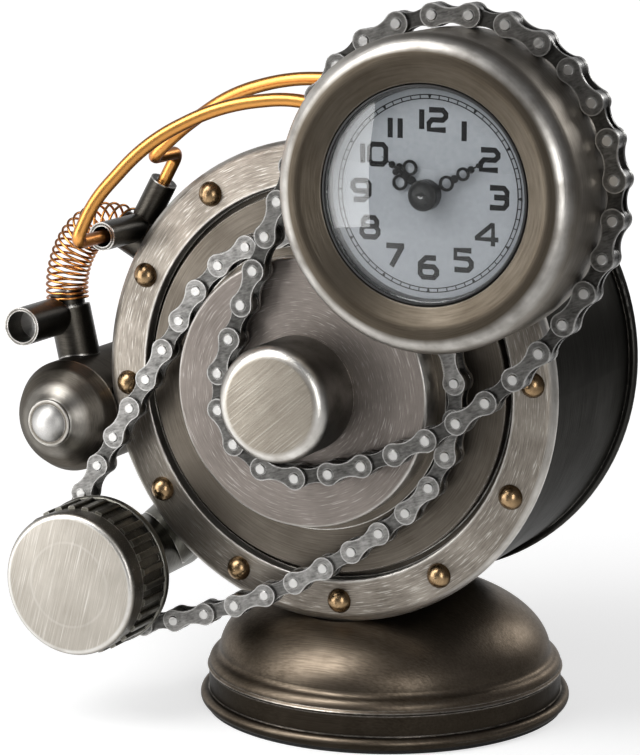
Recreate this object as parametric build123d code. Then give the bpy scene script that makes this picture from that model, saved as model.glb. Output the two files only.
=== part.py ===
"""A table clock in the shape of an old machine, built from its separate pieces.

Millimetres, +Z up. The origin is the centre of the round foot, on the table. The pieces are drawn
about the drum's axis and moved there when they are written. The dial looks along -Y. A drum lies
along Y on the foot, a smaller round head stands in front of its upper right edge and holds the
clock, and two roller chains wrap the head, the drum and a ribbed knob.
"""
import math
import os

from build123d import *

# Fits
seat_gap = 0.15
shaft_gap = 0.05
slide_gap = 0.3
overrun = 1.0

# Drum, lying along Y
drum_axis_height = 123.0
drum_radius = 82.0
drum_wall = 1.5
drum_depth = 84.0
drum_hem_gap = 1.9
rear_lip_reach = 2.5
rear_lip_width = 3.5
rear_lip_round = 1.2
cover_wall = 1.5
cover_panel_radius = 58.0
cover_panel_depth = 3.0
cover_panel_round = 1.2
cover_screw_count = 4
cover_screw_inset = 6.5
cover_screw_radius = 2.0
cover_screw_head_radius = 3.8
cover_screw_head_height = 2.2
cover_screw_length = 5.0

# Riveted front flange and the plate inside it
flange_overhang = 2.0
flange_width = 15.0
flange_thickness = 4.0
flange_edge_round = 3.0
flange_lip_round = 0.6
rivet_count = 12
rivet_first_angle = 4.4
rivet_inset = 7.7
rivet_radius = 4.4
rivet_height = 3.4
rivet_shank_radius = 1.9
rivet_tail_radius = 3.0
rivet_tail_height = 1.2
plate_gap = 2.4
plate_setback = 0.8
plate_wall = 1.5
plate_brim_margin = 1.5
plate_edge_round = 0.6

# Roller chain, half-inch pitch
chain_pitch = 12.7
head_chain_first_share = 0.65
drum_chain_first_share = 1.3
link_end_radius = 4.0
link_waist = 2.4
link_plate = 1.0
link_plate_gap = 0.1
link_inner_width = 3.3
link_pin_radius = 1.8
link_pin_proud = 0.45
link_pin_chamfer = 0.3
link_bush_radius = 2.6
link_roller_radius = 3.87
link_roller_end_gap = 0.1

# Chain pulley, disc and knob on the drum's axis
lower_chain_reach = 7.6
pulley_wrap_inset = 13.6
pulley_rim_width = 3.0
pulley_boss_inset = 13.0
disc_inset = 6.8
disc_reach = 19.2
disc_wall = 1.5
disc_edge_round = 1.0
knob_radius = 20.0
knob_reach = 42.5
knob_wall = 1.5
knob_edge_round = 4.5
knob_boss_radius = 8.0
upper_chain_knob_clearance = 3.3
centre_bolt_radius = 4.0
centre_bolt_head_radius = 7.5
centre_bolt_head_height = 5.0
centre_bolt_grip = 10.0

# Head, which holds the clock
head_side_inset = 24.0
head_top_inset = 8.0
head_radius = 51.0
head_wall = 1.5
head_rear_reach = 19.6
head_front_reach = 54.5
head_front_round = 9.0
head_face_dip = 3.2
bezel_width = 15.8
opening_collar_depth = 9.0
upper_chain_reach = 24.2
back_plate_wall = 1.5
neck_radius = 21.0
neck_wall = 2.0
neck_front_wall = 3.0
neck_length_behind = 24.0
neck_edge_round = 3.0
neck_screw_count = 3
neck_screw_circle = 12.0
neck_screw_radius = 2.0
neck_screw_head_radius = 3.8
neck_screw_head_height = 2.4

# Clock insert, pressed into the head from the front
insert_cup_wall = 0.9
insert_cup_depth = 4.7
gasket_width = 3.4
gasket_thickness = 0.6
lens_thickness = 1.0
lens_rise = 3.2
lens_setback = 1.1
lens_ring_width = 0.8
lens_ring_depth = 2.2
dial_thickness = 0.5
dial_edge_gap = 0.1

# Movement behind the dial
case_radius = 24.0
case_depth = 13.1
case_wall = 1.5
cover_plate = 1.2
bush_wall = 1.4
bush_proud = 0.2
pipe_radius = 2.5
arbor_radius = 1.55
wheel_thickness = 1.0
wheel_face_gap = 0.5
wheel_plane_step = 1.7
pinion_overlap = 0.2
train_distance = 12.0
cannon_teeth = 12
minute_wheel_teeth = 36
minute_pinion_teeth = 12
hour_wheel_teeth = 48
wheel_arbor_radius = 1.2
wheel_pivot_depth = 0.8
set_knob_radius = 5.0
set_knob_length = 4.6
set_knob_gap = 0.4
set_knob_flutes = 12
set_knob_flute_radius = 0.6
cell_radius = 5.8
cell_height = 5.4
cell_x = 12.5
cell_z = 9.0
board_width = 12.0
board_height = 9.0
board_thickness = 1.0
board_x = -10.5
board_z = 9.5
coil_radius = 2.6
coil_length = 10.0
mesh_below = -90
mesh_above = 90
tooth_thickness_share = 0.36
tooth_tip_share = 0.18
tooth_root_share = 0.54
addendum_share = 0.75
dedendum_share = 1.1

# Hands
hand_thickness = 0.45
hour_hand_lift = 0.9
hand_step = 1.0
hour_hand_inset = 13.8
minute_hand_inset = 7.8
hour_boss_radius = 4.4
minute_boss_radius = 3.6
hour_stem_width = 2.4
minute_stem_width = 2.0
hand_ring_wall = 0.9
hour_ring_shares = ((0.50, 0.15, 0.13), (0.50, -0.15, 0.13))
hour_bead_shares = ((0.36, 0, 0.07), (0.66, 0.06, 0.05), (0.66, -0.06, 0.05), (0.78, 0, 0.055))
minute_ring_shares = ((0.30, 0, 0.098), (0.55, 0, 0.086))
minute_bead_shares = ((0.42, 0, 0.05), (0.67, 0, 0.045), (0.78, 0, 0.03))
hand_cap_radius = 4.9
hand_cap_height = 4.0
hand_cap_round = 0.6
hour_shown = 10
minute_shown = 10

# Ribbed knob that the lower chain wraps
idler_side_inset = 3.0
idler_low_inset = 11.5
idler_wrap_radius = 22.2
idler_boss_radius = 13.0
idler_face_reach = 39.5
idler_face_radius = 25.4
idler_face_depth = 7.5
idler_face_wall = 2.0
idler_face_round = 2.0
idler_drum_radius = 25.2
idler_drum_depth = 17.0
idler_rim_radius = 26.8
idler_rim_width = 3.2
rib_count = 30
rib_width = 2.6
rib_height = 1.2
rib_sink = 0.6
spindle_radius = 12.0
spindle_wall = 2.0
arm_radius = 11.8
arm_wall = 1.5
arm_setback = 27.0

# Bell-shaped can beside the drum
bell_angle = 191.2
bell_radius = 20.1
bell_wall = 1.2
bell_length = 52.0
bell_reach = 0.6
bell_nose = 14.5
bell_ring_radius = 8.4
bell_ring_height = 1.0
bell_boss_radius = 6.8
bell_boss_height = 3.4
bell_edge_round = 0.5
bell_curve_radius_shares = (0.885, 0.66, 0.50)
bell_curve_depth_shares = (0.35, 0.71, 0.88)

# Tubes, spring and copper wires on the left
fitting_setback = 15.0
lower_tube_lean = 12.4
lower_tube_radius = 7.6
lower_tube_reach = 17.5
lower_peg_radius = 6.0
lower_peg_length = 6.0
cross_tube_offset = 2.8
cross_tube_rise = 13.9
cross_tube_radius = 6.8
cross_tube_bore = 5.6
cross_tube_reach = 15.0
plug_depth = 9.0
plug_thickness = 1.5
upper_tube_angle = 151.0
upper_tube_radius = 7.6
upper_tube_reach = 13.0
upper_peg_radius = 5.8
upper_peg_length = 3.4
spring_radius = 7.3
spring_wire = 0.92
spring_bend = 1.1
spring_turns = 19
spring_start_pitch_share = 0.85
socket_place = 9.6
socket_shift = 3.9
front_socket_radius = 5.0
front_socket_bore = 3.6
front_socket_reach = 14.0
top_socket_radius = 4.9
top_socket_reach = 19.0
wire_radius = 2.3
wire_tight_bend = 4.0
wire_fillet_share = 0.45
wire_end_depth = 1.6
front_wire_overhang = 18.5
front_wire_rise = 51.7
front_wire_shares = ((0.046, 0.285, 0.11), (0.175, 0.68, 0.43), (0.36, 0.93, 0.72), (0.575, 1.0, 0.93))
front_wire_neck_depth = 13.0
top_wire_overhang = 12.0
top_wire_jog = 20.0
top_wire_rise = 30.0
top_wire_shares = ((0.10, 0.36, 0.2), (0.26, 0.79, 0.5), (0.44, 0.99, 0.8), (0.63, 1.0, 1.0))
top_wire_neck_depth = 6.0

# Foot
foot_x = 4.8
foot_lip_radius = 66.5
foot_lip_height = 4.3
foot_lip_round = 2.0
foot_lip_width = 6.5
foot_wall_radius = 63.4
foot_bead_reach = 0.6
foot_bead_width = 0.9
foot_shoulder_reach = 3.7
foot_shoulder_round = 2.6
foot_shoulder_height_share = 0.45
foot_crown_height_share = 1.15
foot_wall = 1.3
foot_pad_thickness = 1.2
foot_pad_margin = 2.0
foot_plate_thickness = 2.0
stud_radius = 4.0
stud_tail = 9.0
stud_nut_radius = 9.0
stud_nut_height = 5.0

# Places that follow from the sizes
front_y = -drum_depth / 2
rear_y = drum_depth / 2
drum_inner_radius = drum_radius - drum_wall
flange_outer_radius = drum_radius + flange_overhang
flange_inner_radius = flange_outer_radius - flange_width
hem_front_y = front_y + flange_thickness
plate_radius = flange_inner_radius - plate_gap
hem_inner_radius = plate_radius + drum_hem_gap
plate_front_y = front_y + plate_setback
plate_brim_y = hem_front_y + drum_wall
rivet_circle = flange_outer_radius - rivet_inset
link_half_width = link_inner_width / 2 + 2 * link_plate + link_plate_gap + link_pin_proud
lower_chain_y = front_y - lower_chain_reach
upper_chain_y = front_y - upper_chain_reach
pulley_wrap_radius = plate_radius - pulley_wrap_inset
pulley_radius = pulley_wrap_radius - link_roller_radius - shaft_gap
pulley_boss_radius = pulley_wrap_radius - pulley_boss_inset
disc_radius = pulley_wrap_radius - disc_inset
pulley_front_y = lower_chain_y - pulley_rim_width / 2
pulley_back_y = lower_chain_y + pulley_rim_width / 2
disc_front_y = front_y - disc_reach
knob_front_y = front_y - knob_reach
knob_wrap_radius = knob_radius + upper_chain_knob_clearance + link_end_radius
head_x = drum_radius - head_side_inset
head_z = drum_axis_height + drum_radius - head_top_inset
head_rear_y = front_y - head_rear_reach
head_front_y = front_y - head_front_reach
head_wrap_radius = head_radius + link_end_radius + seat_gap
opening_y = head_front_y + head_face_dip
back_plate_y = head_rear_y - back_plate_wall
neck_rear_y = front_y + neck_length_behind
dial_opening_radius = head_radius - bezel_width
insert_radius = dial_opening_radius - slide_gap
lens_front_y = head_front_y + lens_setback
lens_rim_y = lens_front_y + lens_rise
lens_radius = insert_radius - lens_ring_width
ring_back_y = lens_rim_y + lens_thickness
cup_radius = insert_radius - gasket_thickness
dial_radius = cup_radius - insert_cup_wall - dial_edge_gap
hour_hand_length = dial_radius - hour_hand_inset
minute_hand_length = dial_radius - minute_hand_inset
cup_floor_y = ring_back_y + insert_cup_depth - insert_cup_wall
dial_front_y = cup_floor_y - dial_thickness
case_front_y = cup_floor_y + insert_cup_wall
case_back_y = case_front_y + case_depth
case_inner_y = case_front_y + case_wall
hour_plane_y = case_inner_y + wheel_face_gap
minute_plane_y = hour_plane_y + wheel_thickness + wheel_plane_step
hour_hand_y = dial_front_y - hour_hand_lift
minute_hand_y = hour_hand_y - hand_step
bush_radius = pipe_radius + shaft_gap + bush_wall
wheel_arbor_z = head_z - train_distance
cover_back_y = case_back_y + cover_plate
idler_x = idler_side_inset - drum_radius
idler_z = drum_axis_height - drum_radius + idler_low_inset
idler_pulley_radius = idler_wrap_radius - link_roller_radius - shaft_gap
idler_face_y = front_y - idler_face_reach
idler_drum_y = idler_face_y + idler_face_depth
idler_back_y = idler_drum_y + idler_drum_depth
arm_y = front_y + arm_setback
bell_distance = drum_radius + bell_radius + seat_gap
bell_x = bell_distance * math.cos(math.radians(bell_angle))
bell_z = drum_axis_height + bell_distance * math.sin(math.radians(bell_angle))
bell_rim_y = front_y - bell_reach
fitting_y = front_y + fitting_setback
foot_height = drum_axis_height - drum_radius
foot_lip_z = foot_pad_thickness
foot_lip_inner = foot_lip_radius - foot_lip_width


def closed(name, solid):
    """Write one piece to its own file, moved so that the foot's axis is at the origin."""
    bodies = [Pos(-foot_x, 0, 0) * body for body in solid.solids()]
    piece = bodies[0]
    if len(bodies) > 1:
        piece = Compound(children=bodies)
    export_step(piece, os.path.join("parts", name + ".step"))


def spun(corners, rounds, x=0.0, z=drum_axis_height):
    """Turn a closed outline of (radius, y) corners about an axis along Y through (x, z)."""
    outline = FilletPolyline(*corners, radius=rounds, close=True)
    return Pos(x, 0, z) * revolve(make_face(outline), axis=Axis.Y)


def rod(radius, y_start, y_end, x=0.0, z=drum_axis_height):
    """A round bar along Y."""
    return spun([(0, y_start), (radius, y_start), (radius, y_end), (0, y_end)], [0, 0, 0, 0], x, z)


def bar(radius, start, end):
    """A round bar between two points."""
    run = Vector(*end) - Vector(*start)
    return extrude(Plane(origin=start, z_dir=run) * Circle(radius), run.length)


def around(angle, distance):
    """The (x, z) place at an angle and distance from the drum's axis."""
    turn = math.radians(angle)
    return distance * math.cos(turn), drum_axis_height + distance * math.sin(turn)


def drum_envelope(gap):
    """The drum with its flange and rear lip as one solid, grown by a gap, for seats cut to it."""
    front_edge = front_y - gap
    back_edge = rear_y + gap
    lip_start = rear_y - rear_lip_width - gap
    flange_end = hem_front_y + gap
    flange = flange_outer_radius + gap
    wall = drum_radius + gap
    lip = drum_radius + rear_lip_reach + gap
    corners = [(0, front_edge), (flange, front_edge), (flange, flange_end), (wall, flange_end)]
    corners += [(wall, lip_start), (lip, lip_start), (lip, back_edge), (0, back_edge)]
    return spun(corners, [0] * len(corners))


def screw(radius, head_radius, head_height, length):
    """A round-headed screw along Y: head in front of the origin, shank behind it."""
    dome = head_height / 2
    corners = [(0, -head_height), (head_radius, -head_height), (head_radius, 0), (radius, 0)]
    corners += [(radius, length), (0, length)]
    return spun(corners, [0, dome, 0, 0, 0, 0], 0, 0)


# Foot
def foot_shell():
    """The spun foot: rolled lip, upright wall with a bead, round shoulder and dome, seated to the drum."""
    lip_top = foot_lip_z + foot_lip_height
    shoulder = foot_height * foot_shoulder_height_share
    crown = foot_height * foot_crown_height_share
    dome_radius = foot_wall_radius - foot_shoulder_reach
    dome_inner = dome_radius - foot_wall
    wall_inner = foot_wall_radius - foot_wall
    wall_top = shoulder - foot_shoulder_reach
    bead = wall_top - foot_bead_width
    rise = crown - shoulder
    lip = FilletPolyline(
        (foot_lip_inner, lip_top),
        (foot_lip_inner, foot_lip_z),
        (foot_lip_radius, foot_lip_z),
        (foot_lip_radius, lip_top),
        (foot_wall_radius, lip_top),
        radius=[0, foot_lip_round, foot_lip_round],
    )
    wall = Polyline(
        (foot_wall_radius, lip_top),
        (foot_wall_radius, bead - foot_bead_width),
        (foot_wall_radius + foot_bead_reach, bead),
        (foot_wall_radius, wall_top),
    )
    turn = CenterArc((dome_radius, wall_top), foot_shoulder_reach, 0, 90)
    dome = EllipticalCenterArc((0, shoulder), dome_radius, rise, start_angle=0, arc_size=90)
    crown_edge = Line((0, crown), (0, crown - foot_wall))
    inside = EllipticalCenterArc((0, shoulder), dome_inner, rise - foot_wall, start_angle=0, arc_size=90)
    wall_in = Polyline(
        (dome_inner, shoulder),
        (wall_inner, wall_top),
        (wall_inner, lip_top),
        (foot_lip_inner, lip_top),
    )
    outline = make_face([lip, wall, turn, dome, crown_edge, inside, wall_in])
    shell = revolve(Plane.XZ * outline, axis=Axis.Z)
    rims = shell.edges().filter_by(GeomType.CIRCLE).filter_by_position(Axis.Z, shoulder, shoulder)
    crease = rims.sort_by(SortBy.RADIUS)[-1]
    shell = Pos(foot_x, 0, 0) * fillet(crease, foot_shoulder_round)
    return shell - drum_envelope(seat_gap)


def foot_pad():
    """The felt disc under the lip."""
    return Pos(foot_x, 0, 0) * extrude(Circle(foot_lip_radius - foot_pad_margin), foot_pad_thickness)


def foot_plate():
    """The steel disc inside the lip that the stud stands on."""
    disc = Circle(foot_lip_inner - seat_gap)
    return Pos(foot_x, 0, foot_lip_z) * extrude(disc, foot_plate_thickness)


def foot_stud():
    """The stud that ties the foot to the drum."""
    start = foot_lip_z + foot_plate_thickness
    length = drum_axis_height - drum_inner_radius + stud_tail - start
    return Pos(0, 0, start) * extrude(Circle(stud_radius), length)


def foot_nut():
    """The nut inside the drum, its foot shaped to the wall."""
    floor = drum_axis_height - drum_inner_radius
    top = floor + stud_nut_height
    hexagon = RegularPolygon(stud_nut_radius, 6) - Circle(stud_radius + shaft_gap)
    block = Pos(0, 0, floor - drum_wall) * extrude(hexagon, top - floor + drum_wall)
    bore = rod(drum_inner_radius - seat_gap, front_y, rear_y)
    return block & bore


# Drum
def drum_shell():
    """The drum's wall, with an inward hem at each end and a rolled lip at the rear."""
    lip = drum_radius + rear_lip_reach
    lip_y = rear_y - rear_lip_width
    seat_y = rear_y - cover_wall - rear_lip_round
    hem_back_y = hem_front_y + drum_wall
    corners = [
        (hem_inner_radius, hem_front_y),
        (drum_radius, hem_front_y),
        (drum_radius, lip_y),
        (lip, lip_y),
        (lip, rear_y),
        (drum_inner_radius, rear_y),
        (drum_inner_radius, seat_y),
        (hem_inner_radius, seat_y),
        (hem_inner_radius, seat_y - drum_wall),
        (drum_inner_radius, seat_y - drum_wall),
        (drum_inner_radius, hem_back_y),
        (hem_inner_radius, hem_back_y),
    ]
    rounds = [0, 0, 0, rear_lip_round, rear_lip_round, 0, 0, 0, 0, 0, 0, 0]
    wall = spun(corners, rounds)
    stud_hole = Pos(0, 0, foot_lip_z) * extrude(Circle(stud_radius + seat_gap), drum_axis_height)
    wall -= stud_hole
    for place in rivet_places():
        wall -= place * rod(rivet_shank_radius + shaft_gap, front_y, 0, 0, 0)
    for place in cover_screw_places():
        wall -= place * rod(cover_screw_radius + shaft_gap, 0, drum_depth, 0, 0)
    return wall


def rear_cover():
    """The drum's back, with a raised middle panel."""
    seat_y = rear_y - cover_wall - rear_lip_round
    radius = drum_inner_radius - seat_gap
    inner = cover_panel_radius - cover_wall
    top_y = seat_y + cover_panel_depth
    corners = [
        (0, top_y),
        (inner, top_y),
        (inner, seat_y),
        (radius, seat_y),
        (radius, seat_y + cover_wall),
        (cover_panel_radius, seat_y + cover_wall),
        (cover_panel_radius, top_y + cover_wall),
        (0, top_y + cover_wall),
    ]
    panel = spun(corners, [0, 0, 0, 0, 0, 0, cover_panel_round, 0])
    for place in cover_screw_places():
        panel -= place * rod(cover_screw_radius + shaft_gap, 0, drum_depth, 0, 0)
    return panel


def cover_screw_places():
    """Where the screws go through the rear cover."""
    circle = drum_inner_radius - cover_screw_inset
    step = 360 / cover_screw_count
    for index in range(cover_screw_count):
        x, z = around(index * step + step / 2, circle)
        yield Pos(x, 0, z)


def cover_screws():
    """The rear cover's screws."""
    one = screw(cover_screw_radius, cover_screw_head_radius, cover_screw_head_height, cover_screw_length)
    seat_y = rear_y - rear_lip_round
    turned = Pos(0, seat_y, 0) * Rot(0, 0, 180) * one
    return Compound(children=[place * turned for place in cover_screw_places()])


def rivet_places():
    """Where the rivets go through the flange."""
    for index in range(rivet_count):
        x, z = around(rivet_first_angle + index * 360 / rivet_count, rivet_circle)
        yield Pos(x, 0, z)


def front_flange():
    """The riveted ring on the drum's front."""
    corners = [
        (flange_inner_radius, front_y),
        (flange_outer_radius, front_y),
        (flange_outer_radius, hem_front_y),
        (flange_inner_radius, hem_front_y),
    ]
    ring = spun(corners, [flange_lip_round, flange_edge_round, 0, 0])
    for place in rivet_places():
        ring -= place * rod(rivet_shank_radius + shaft_gap, front_y - overrun, 0, 0, 0)
    return ring


def flange_rivets():
    """The dome-headed rivets that hold the flange, the drum's hem and the plate's brim together."""
    sphere = (rivet_radius**2 + rivet_height**2) / (2 * rivet_height)
    half_turn = math.asin(rivet_radius / sphere) / 2
    crown_y = front_y - rivet_height
    mid = (sphere * math.sin(half_turn), crown_y + sphere * (1 - math.cos(half_turn)))
    tail_y = plate_brim_y + plate_wall
    end_y = tail_y + rivet_tail_height
    dome = ThreePointArc((0, crown_y), mid, (rivet_radius, front_y))
    rest = Polyline(
        (rivet_radius, front_y),
        (rivet_shank_radius, front_y),
        (rivet_shank_radius, tail_y),
        (rivet_tail_radius, tail_y),
        (rivet_tail_radius, end_y),
        (0, end_y),
        (0, crown_y),
    )
    one = revolve(make_face([dome, rest]), axis=Axis.Y)
    return Compound(children=[place * one for place in rivet_places()])


def recess_plate():
    """The plate inside the flange, with a skirt and a brim behind the drum's hem."""
    brim_radius = drum_inner_radius - plate_brim_margin
    inner = plate_radius - plate_wall
    bore = centre_bolt_radius + shaft_gap
    corners = [
        (bore, plate_front_y),
        (plate_radius, plate_front_y),
        (plate_radius, plate_brim_y),
        (brim_radius, plate_brim_y),
        (brim_radius, plate_brim_y + plate_wall),
        (inner, plate_brim_y + plate_wall),
        (inner, plate_front_y + plate_wall),
        (bore, plate_front_y + plate_wall),
    ]
    plate = spun(corners, [0, plate_edge_round, 0, 0, 0, 0, 0, 0])
    for place in rivet_places():
        plate -= place * rod(rivet_shank_radius + shaft_gap, front_y, 0, 0, 0)
    return plate


# Pulley, disc and knob on the drum's axis
def chain_pulley():
    """The wheel that carries the lower chain."""
    bore = centre_bolt_radius + shaft_gap
    corners = [
        (bore, pulley_front_y),
        (pulley_radius, pulley_front_y),
        (pulley_radius, pulley_back_y),
        (pulley_boss_radius, pulley_back_y),
        (pulley_boss_radius, plate_front_y),
        (bore, plate_front_y),
    ]
    return spun(corners, [0] * len(corners))


def centre_disc():
    """The shallow cup in front of the pulley."""
    bore = centre_bolt_radius + shaft_gap
    inner = disc_radius - disc_wall
    corners = [
        (bore, disc_front_y),
        (disc_radius, disc_front_y),
        (disc_radius, pulley_front_y),
        (inner, pulley_front_y),
        (inner, disc_front_y + disc_wall),
        (bore, disc_front_y + disc_wall),
    ]
    return spun(corners, [0, disc_edge_round, 0, 0, 0, 0])


def centre_knob():
    """The knob in front of the disc, a cup with a boss for the bolt."""
    bore = centre_bolt_radius + shaft_gap
    inner = knob_radius - knob_wall
    floor_y = knob_front_y + knob_wall
    bolt_y = disc_front_y - centre_bolt_grip
    corners = [
        (0, knob_front_y),
        (knob_radius, knob_front_y),
        (knob_radius, disc_front_y),
        (inner, disc_front_y),
        (inner, floor_y),
        (knob_boss_radius, floor_y),
        (knob_boss_radius, disc_front_y),
        (bore, disc_front_y),
        (bore, bolt_y),
        (0, bolt_y),
    ]
    inner_round = knob_edge_round - knob_wall
    return spun(corners, [0, knob_edge_round, 0, 0, inner_round, 0, 0, 0, 0, 0])


def centre_bolt():
    """The bolt from behind the plate that holds pulley, disc and knob."""
    head_y = plate_front_y + plate_wall
    shank = rod(centre_bolt_radius, disc_front_y - centre_bolt_grip + shaft_gap, head_y)
    hexagon = Plane.XZ * RegularPolygon(centre_bolt_head_radius, 6)
    head = Pos(0, head_y, drum_axis_height) * extrude(hexagon, -centre_bolt_head_height)
    return shank + head


# Roller chain
def link_outline(hole_radius):
    """A waisted plate with two holes, lying along X in the XZ plane."""
    half = chain_pitch / 2
    hollow = (half**2 + link_waist**2 - link_end_radius**2) / (2 * (link_end_radius - link_waist))
    hollow_z = link_waist + hollow
    touch_share = link_end_radius / (link_end_radius + hollow)
    touch_x = half * (1 - touch_share)
    touch_z = hollow_z * touch_share
    plate = Rectangle(2 * touch_x, 2 * touch_z)
    plate -= Pos(0, hollow_z) * Circle(hollow)
    plate -= Pos(0, -hollow_z) * Circle(hollow)
    for side in (-1, 1):
        plate += Pos(side * half, 0) * Circle(link_end_radius)
    for side in (-1, 1):
        plate -= Pos(side * half, 0) * Circle(hole_radius)
    return plate


def link_plates(hole_radius, inner_y):
    """A pair of plates whose inner faces are at plus and minus inner_y."""
    plate = extrude(Plane.XZ * link_outline(hole_radius), link_plate)
    near = Pos(0, -inner_y, 0) * plate
    far = Pos(0, inner_y + link_plate, 0) * plate
    return near, far


def outer_link():
    """Two outer plates on two pins."""
    inner_y = link_inner_width / 2 + link_plate + link_plate_gap
    near, far = link_plates(link_pin_radius, inner_y)
    ends = [
        (0, -link_half_width),
        (link_pin_radius, -link_half_width),
        (link_pin_radius, link_half_width),
        (0, link_half_width),
    ]
    pin = chamfer(spun(ends, [0] * len(ends), 0, 0).edges().filter_by(GeomType.CIRCLE), link_pin_chamfer)
    half = chain_pitch / 2
    return near + far + Pos(-half, 0, 0) * pin + Pos(half, 0, 0) * pin


def inner_link():
    """Two inner plates on two bushes."""
    inner_y = link_inner_width / 2
    near, far = link_plates(link_pin_radius + shaft_gap, inner_y)
    corners = [
        (link_pin_radius + shaft_gap, -inner_y),
        (link_bush_radius, -inner_y),
        (link_bush_radius, inner_y),
        (link_pin_radius + shaft_gap, inner_y),
    ]
    bush = spun(corners, [0] * len(corners), 0, 0)
    half = chain_pitch / 2
    return near + far + Pos(-half, 0, 0) * bush + Pos(half, 0, 0) * bush


def roller():
    """A roller that turns on its bush."""
    end = link_inner_width / 2 - link_roller_end_gap
    corners = [
        (link_bush_radius + shaft_gap, -end),
        (link_roller_radius, -end),
        (link_roller_radius, end),
        (link_bush_radius + shaft_gap, end),
    ]
    return spun(corners, [0] * len(corners), 0, 0)


def chain_loop(large, small, sag):
    """A closed belt line, clockwise from the front: arc on the large wheel, sagging span, arc on
    the small wheel, straight span. Wheels are (x, z, radius); sag is one over the span's radius."""
    x1, z1, r1 = large
    x2, z2, r2 = small
    distance = math.hypot(x2 - x1, z2 - z1)
    heading = math.atan2(z2 - z1, x2 - x1)
    back = heading + math.pi + math.asin((r1 - r2) / distance)
    straight = math.sqrt(distance**2 - (r1 - r2) ** 2)
    span_radius = 1 / sag
    d1 = span_radius - r1
    d2 = span_radius - r2
    along = (d1**2 - d2**2 + distance**2) / (2 * distance)
    aside = math.sqrt(d1**2 - along**2)
    span_x = x1 + along * math.cos(heading) + aside * math.sin(heading)
    span_z = z1 + along * math.sin(heading) - aside * math.cos(heading)
    arrive = back + math.pi / 2
    leave_large = math.atan2(z1 - span_z, x1 - span_x)
    reach_small = math.atan2(z2 - span_z, x2 - span_x)
    full = 2 * math.pi
    sections = [
        (x1, z1, r1, arrive, (arrive - leave_large) % full),
        (span_x, span_z, span_radius, leave_large, (leave_large - reach_small) % full),
        (x2, z2, r2, reach_small, (reach_small - arrive) % full),
    ]
    start = (x2 + r2 * math.cos(arrive), z2 + r2 * math.sin(arrive))
    run = (math.cos(back), math.sin(back))
    length = sum(section[2] * section[4] for section in sections) + straight
    return sections, (start, run), length


def loop_point(loop, distance):
    """The point at a distance along a chain loop."""
    sections, (start, run), length = loop
    left = distance % length
    for x, z, radius, first, sweep_angle in sections:
        if left < radius * sweep_angle:
            angle = first - left / radius
            return x + radius * math.cos(angle), z + radius * math.sin(angle)
        left -= radius * sweep_angle
    return start[0] + left * run[0], start[1] + left * run[1]


def next_pin(loop, distance):
    """The distance along the loop of the pin one pitch further on."""
    here = loop_point(loop, distance)
    low = distance + chain_pitch / 2
    high = distance + 2 * chain_pitch
    while high - low > chain_pitch * 1e-9:
        middle = (low + high) / 2
        x, z = loop_point(loop, middle)
        if math.hypot(x - here[0], z - here[1]) < chain_pitch:
            low = middle
        else:
            high = middle
    return (low + high) / 2


def pins_from(loop, count, first):
    """The distances along a loop of a run of pins from the first, one more than the count of links."""
    places = [first]
    for _ in range(count):
        places.append(next_pin(loop, places[-1]))
    return places


def chain_pins(large, small, first):
    """The pins of a closed chain of whole link pairs, with its slack in the lower span."""
    half_span = (math.hypot(small[0] - large[0], small[1] - large[1]) + large[2] + small[2]) / 2
    tight = 1e-4 / half_span
    slack = 0.98 / half_span
    loop = chain_loop(large, small, tight)
    count = 2
    while pins_from(loop, count, first)[-1] < first + loop[2]:
        count += 2
    while slack - tight > 1e-12 / half_span:
        middle = (tight + slack) / 2
        loop = chain_loop(large, small, middle)
        if pins_from(loop, count, first)[-1] > first + loop[2]:
            tight = middle
        else:
            slack = middle
    places = pins_from(loop, count, first)[:-1]
    return [loop_point(loop, place) for place in places]


def chain(large, small, y, first_share):
    """The outer links, inner links and rollers of a chain round two wheels, from its first pin on."""
    pins = chain_pins(large, small, chain_pitch * first_share)
    kinds = (outer_link(), inner_link())
    placed = ([], [])
    one_roller = roller()
    rollers = [Pos(x, y, z) * one_roller for x, z in pins]
    for index, (x1, z1) in enumerate(pins):
        x2, z2 = pins[(index + 1) % len(pins)]
        turn = math.degrees(math.atan2(z2 - z1, x2 - x1))
        place = Pos((x1 + x2) / 2, y, (z1 + z2) / 2) * Rot(0, -turn, 0)
        placed[index % 2].append(place * kinds[index % 2])
    print("chain links", len(pins))
    return [Compound(children=group) for group in (*placed, rollers)]


# Head
def head_can():
    """The round can with its rolled front, its sloping face and the collar for the insert."""
    collar = dial_opening_radius + head_wall
    crest = head_radius - head_front_round
    collar_y = opening_y + opening_collar_depth
    inner_y = head_front_y + head_wall
    corners = [
        (head_radius, head_rear_y),
        (head_radius, head_front_y),
        (crest, head_front_y),
        (dial_opening_radius, opening_y),
        (dial_opening_radius, collar_y),
        (collar, collar_y),
        (collar, opening_y + head_wall),
        (crest, inner_y),
        (head_radius - head_wall, inner_y),
        (head_radius - head_wall, head_rear_y),
    ]
    crest_round = head_front_round / 2
    rounds = [0, head_front_round - head_wall, crest_round, head_wall / 2, 0, 0, 0, 0, 0, 0]
    rounds[8] = crest_round
    return spun(corners, rounds, head_x, head_z)


def neck_screw_places():
    """Where the screws go through the head's back into the neck."""
    for index in range(neck_screw_count):
        turn = math.radians(90 + index * 360 / neck_screw_count)
        yield Pos(head_x + neck_screw_circle * math.cos(turn), 0, head_z + neck_screw_circle * math.sin(turn))


def head_back_plate():
    """The disc that closes the can's back."""
    plate = rod(head_radius - head_wall - seat_gap, back_plate_y, head_rear_y, head_x, head_z)
    for place in neck_screw_places():
        plate -= place * rod(neck_screw_radius + shaft_gap, back_plate_y - overrun, 0, 0, 0)
    return plate


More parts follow.
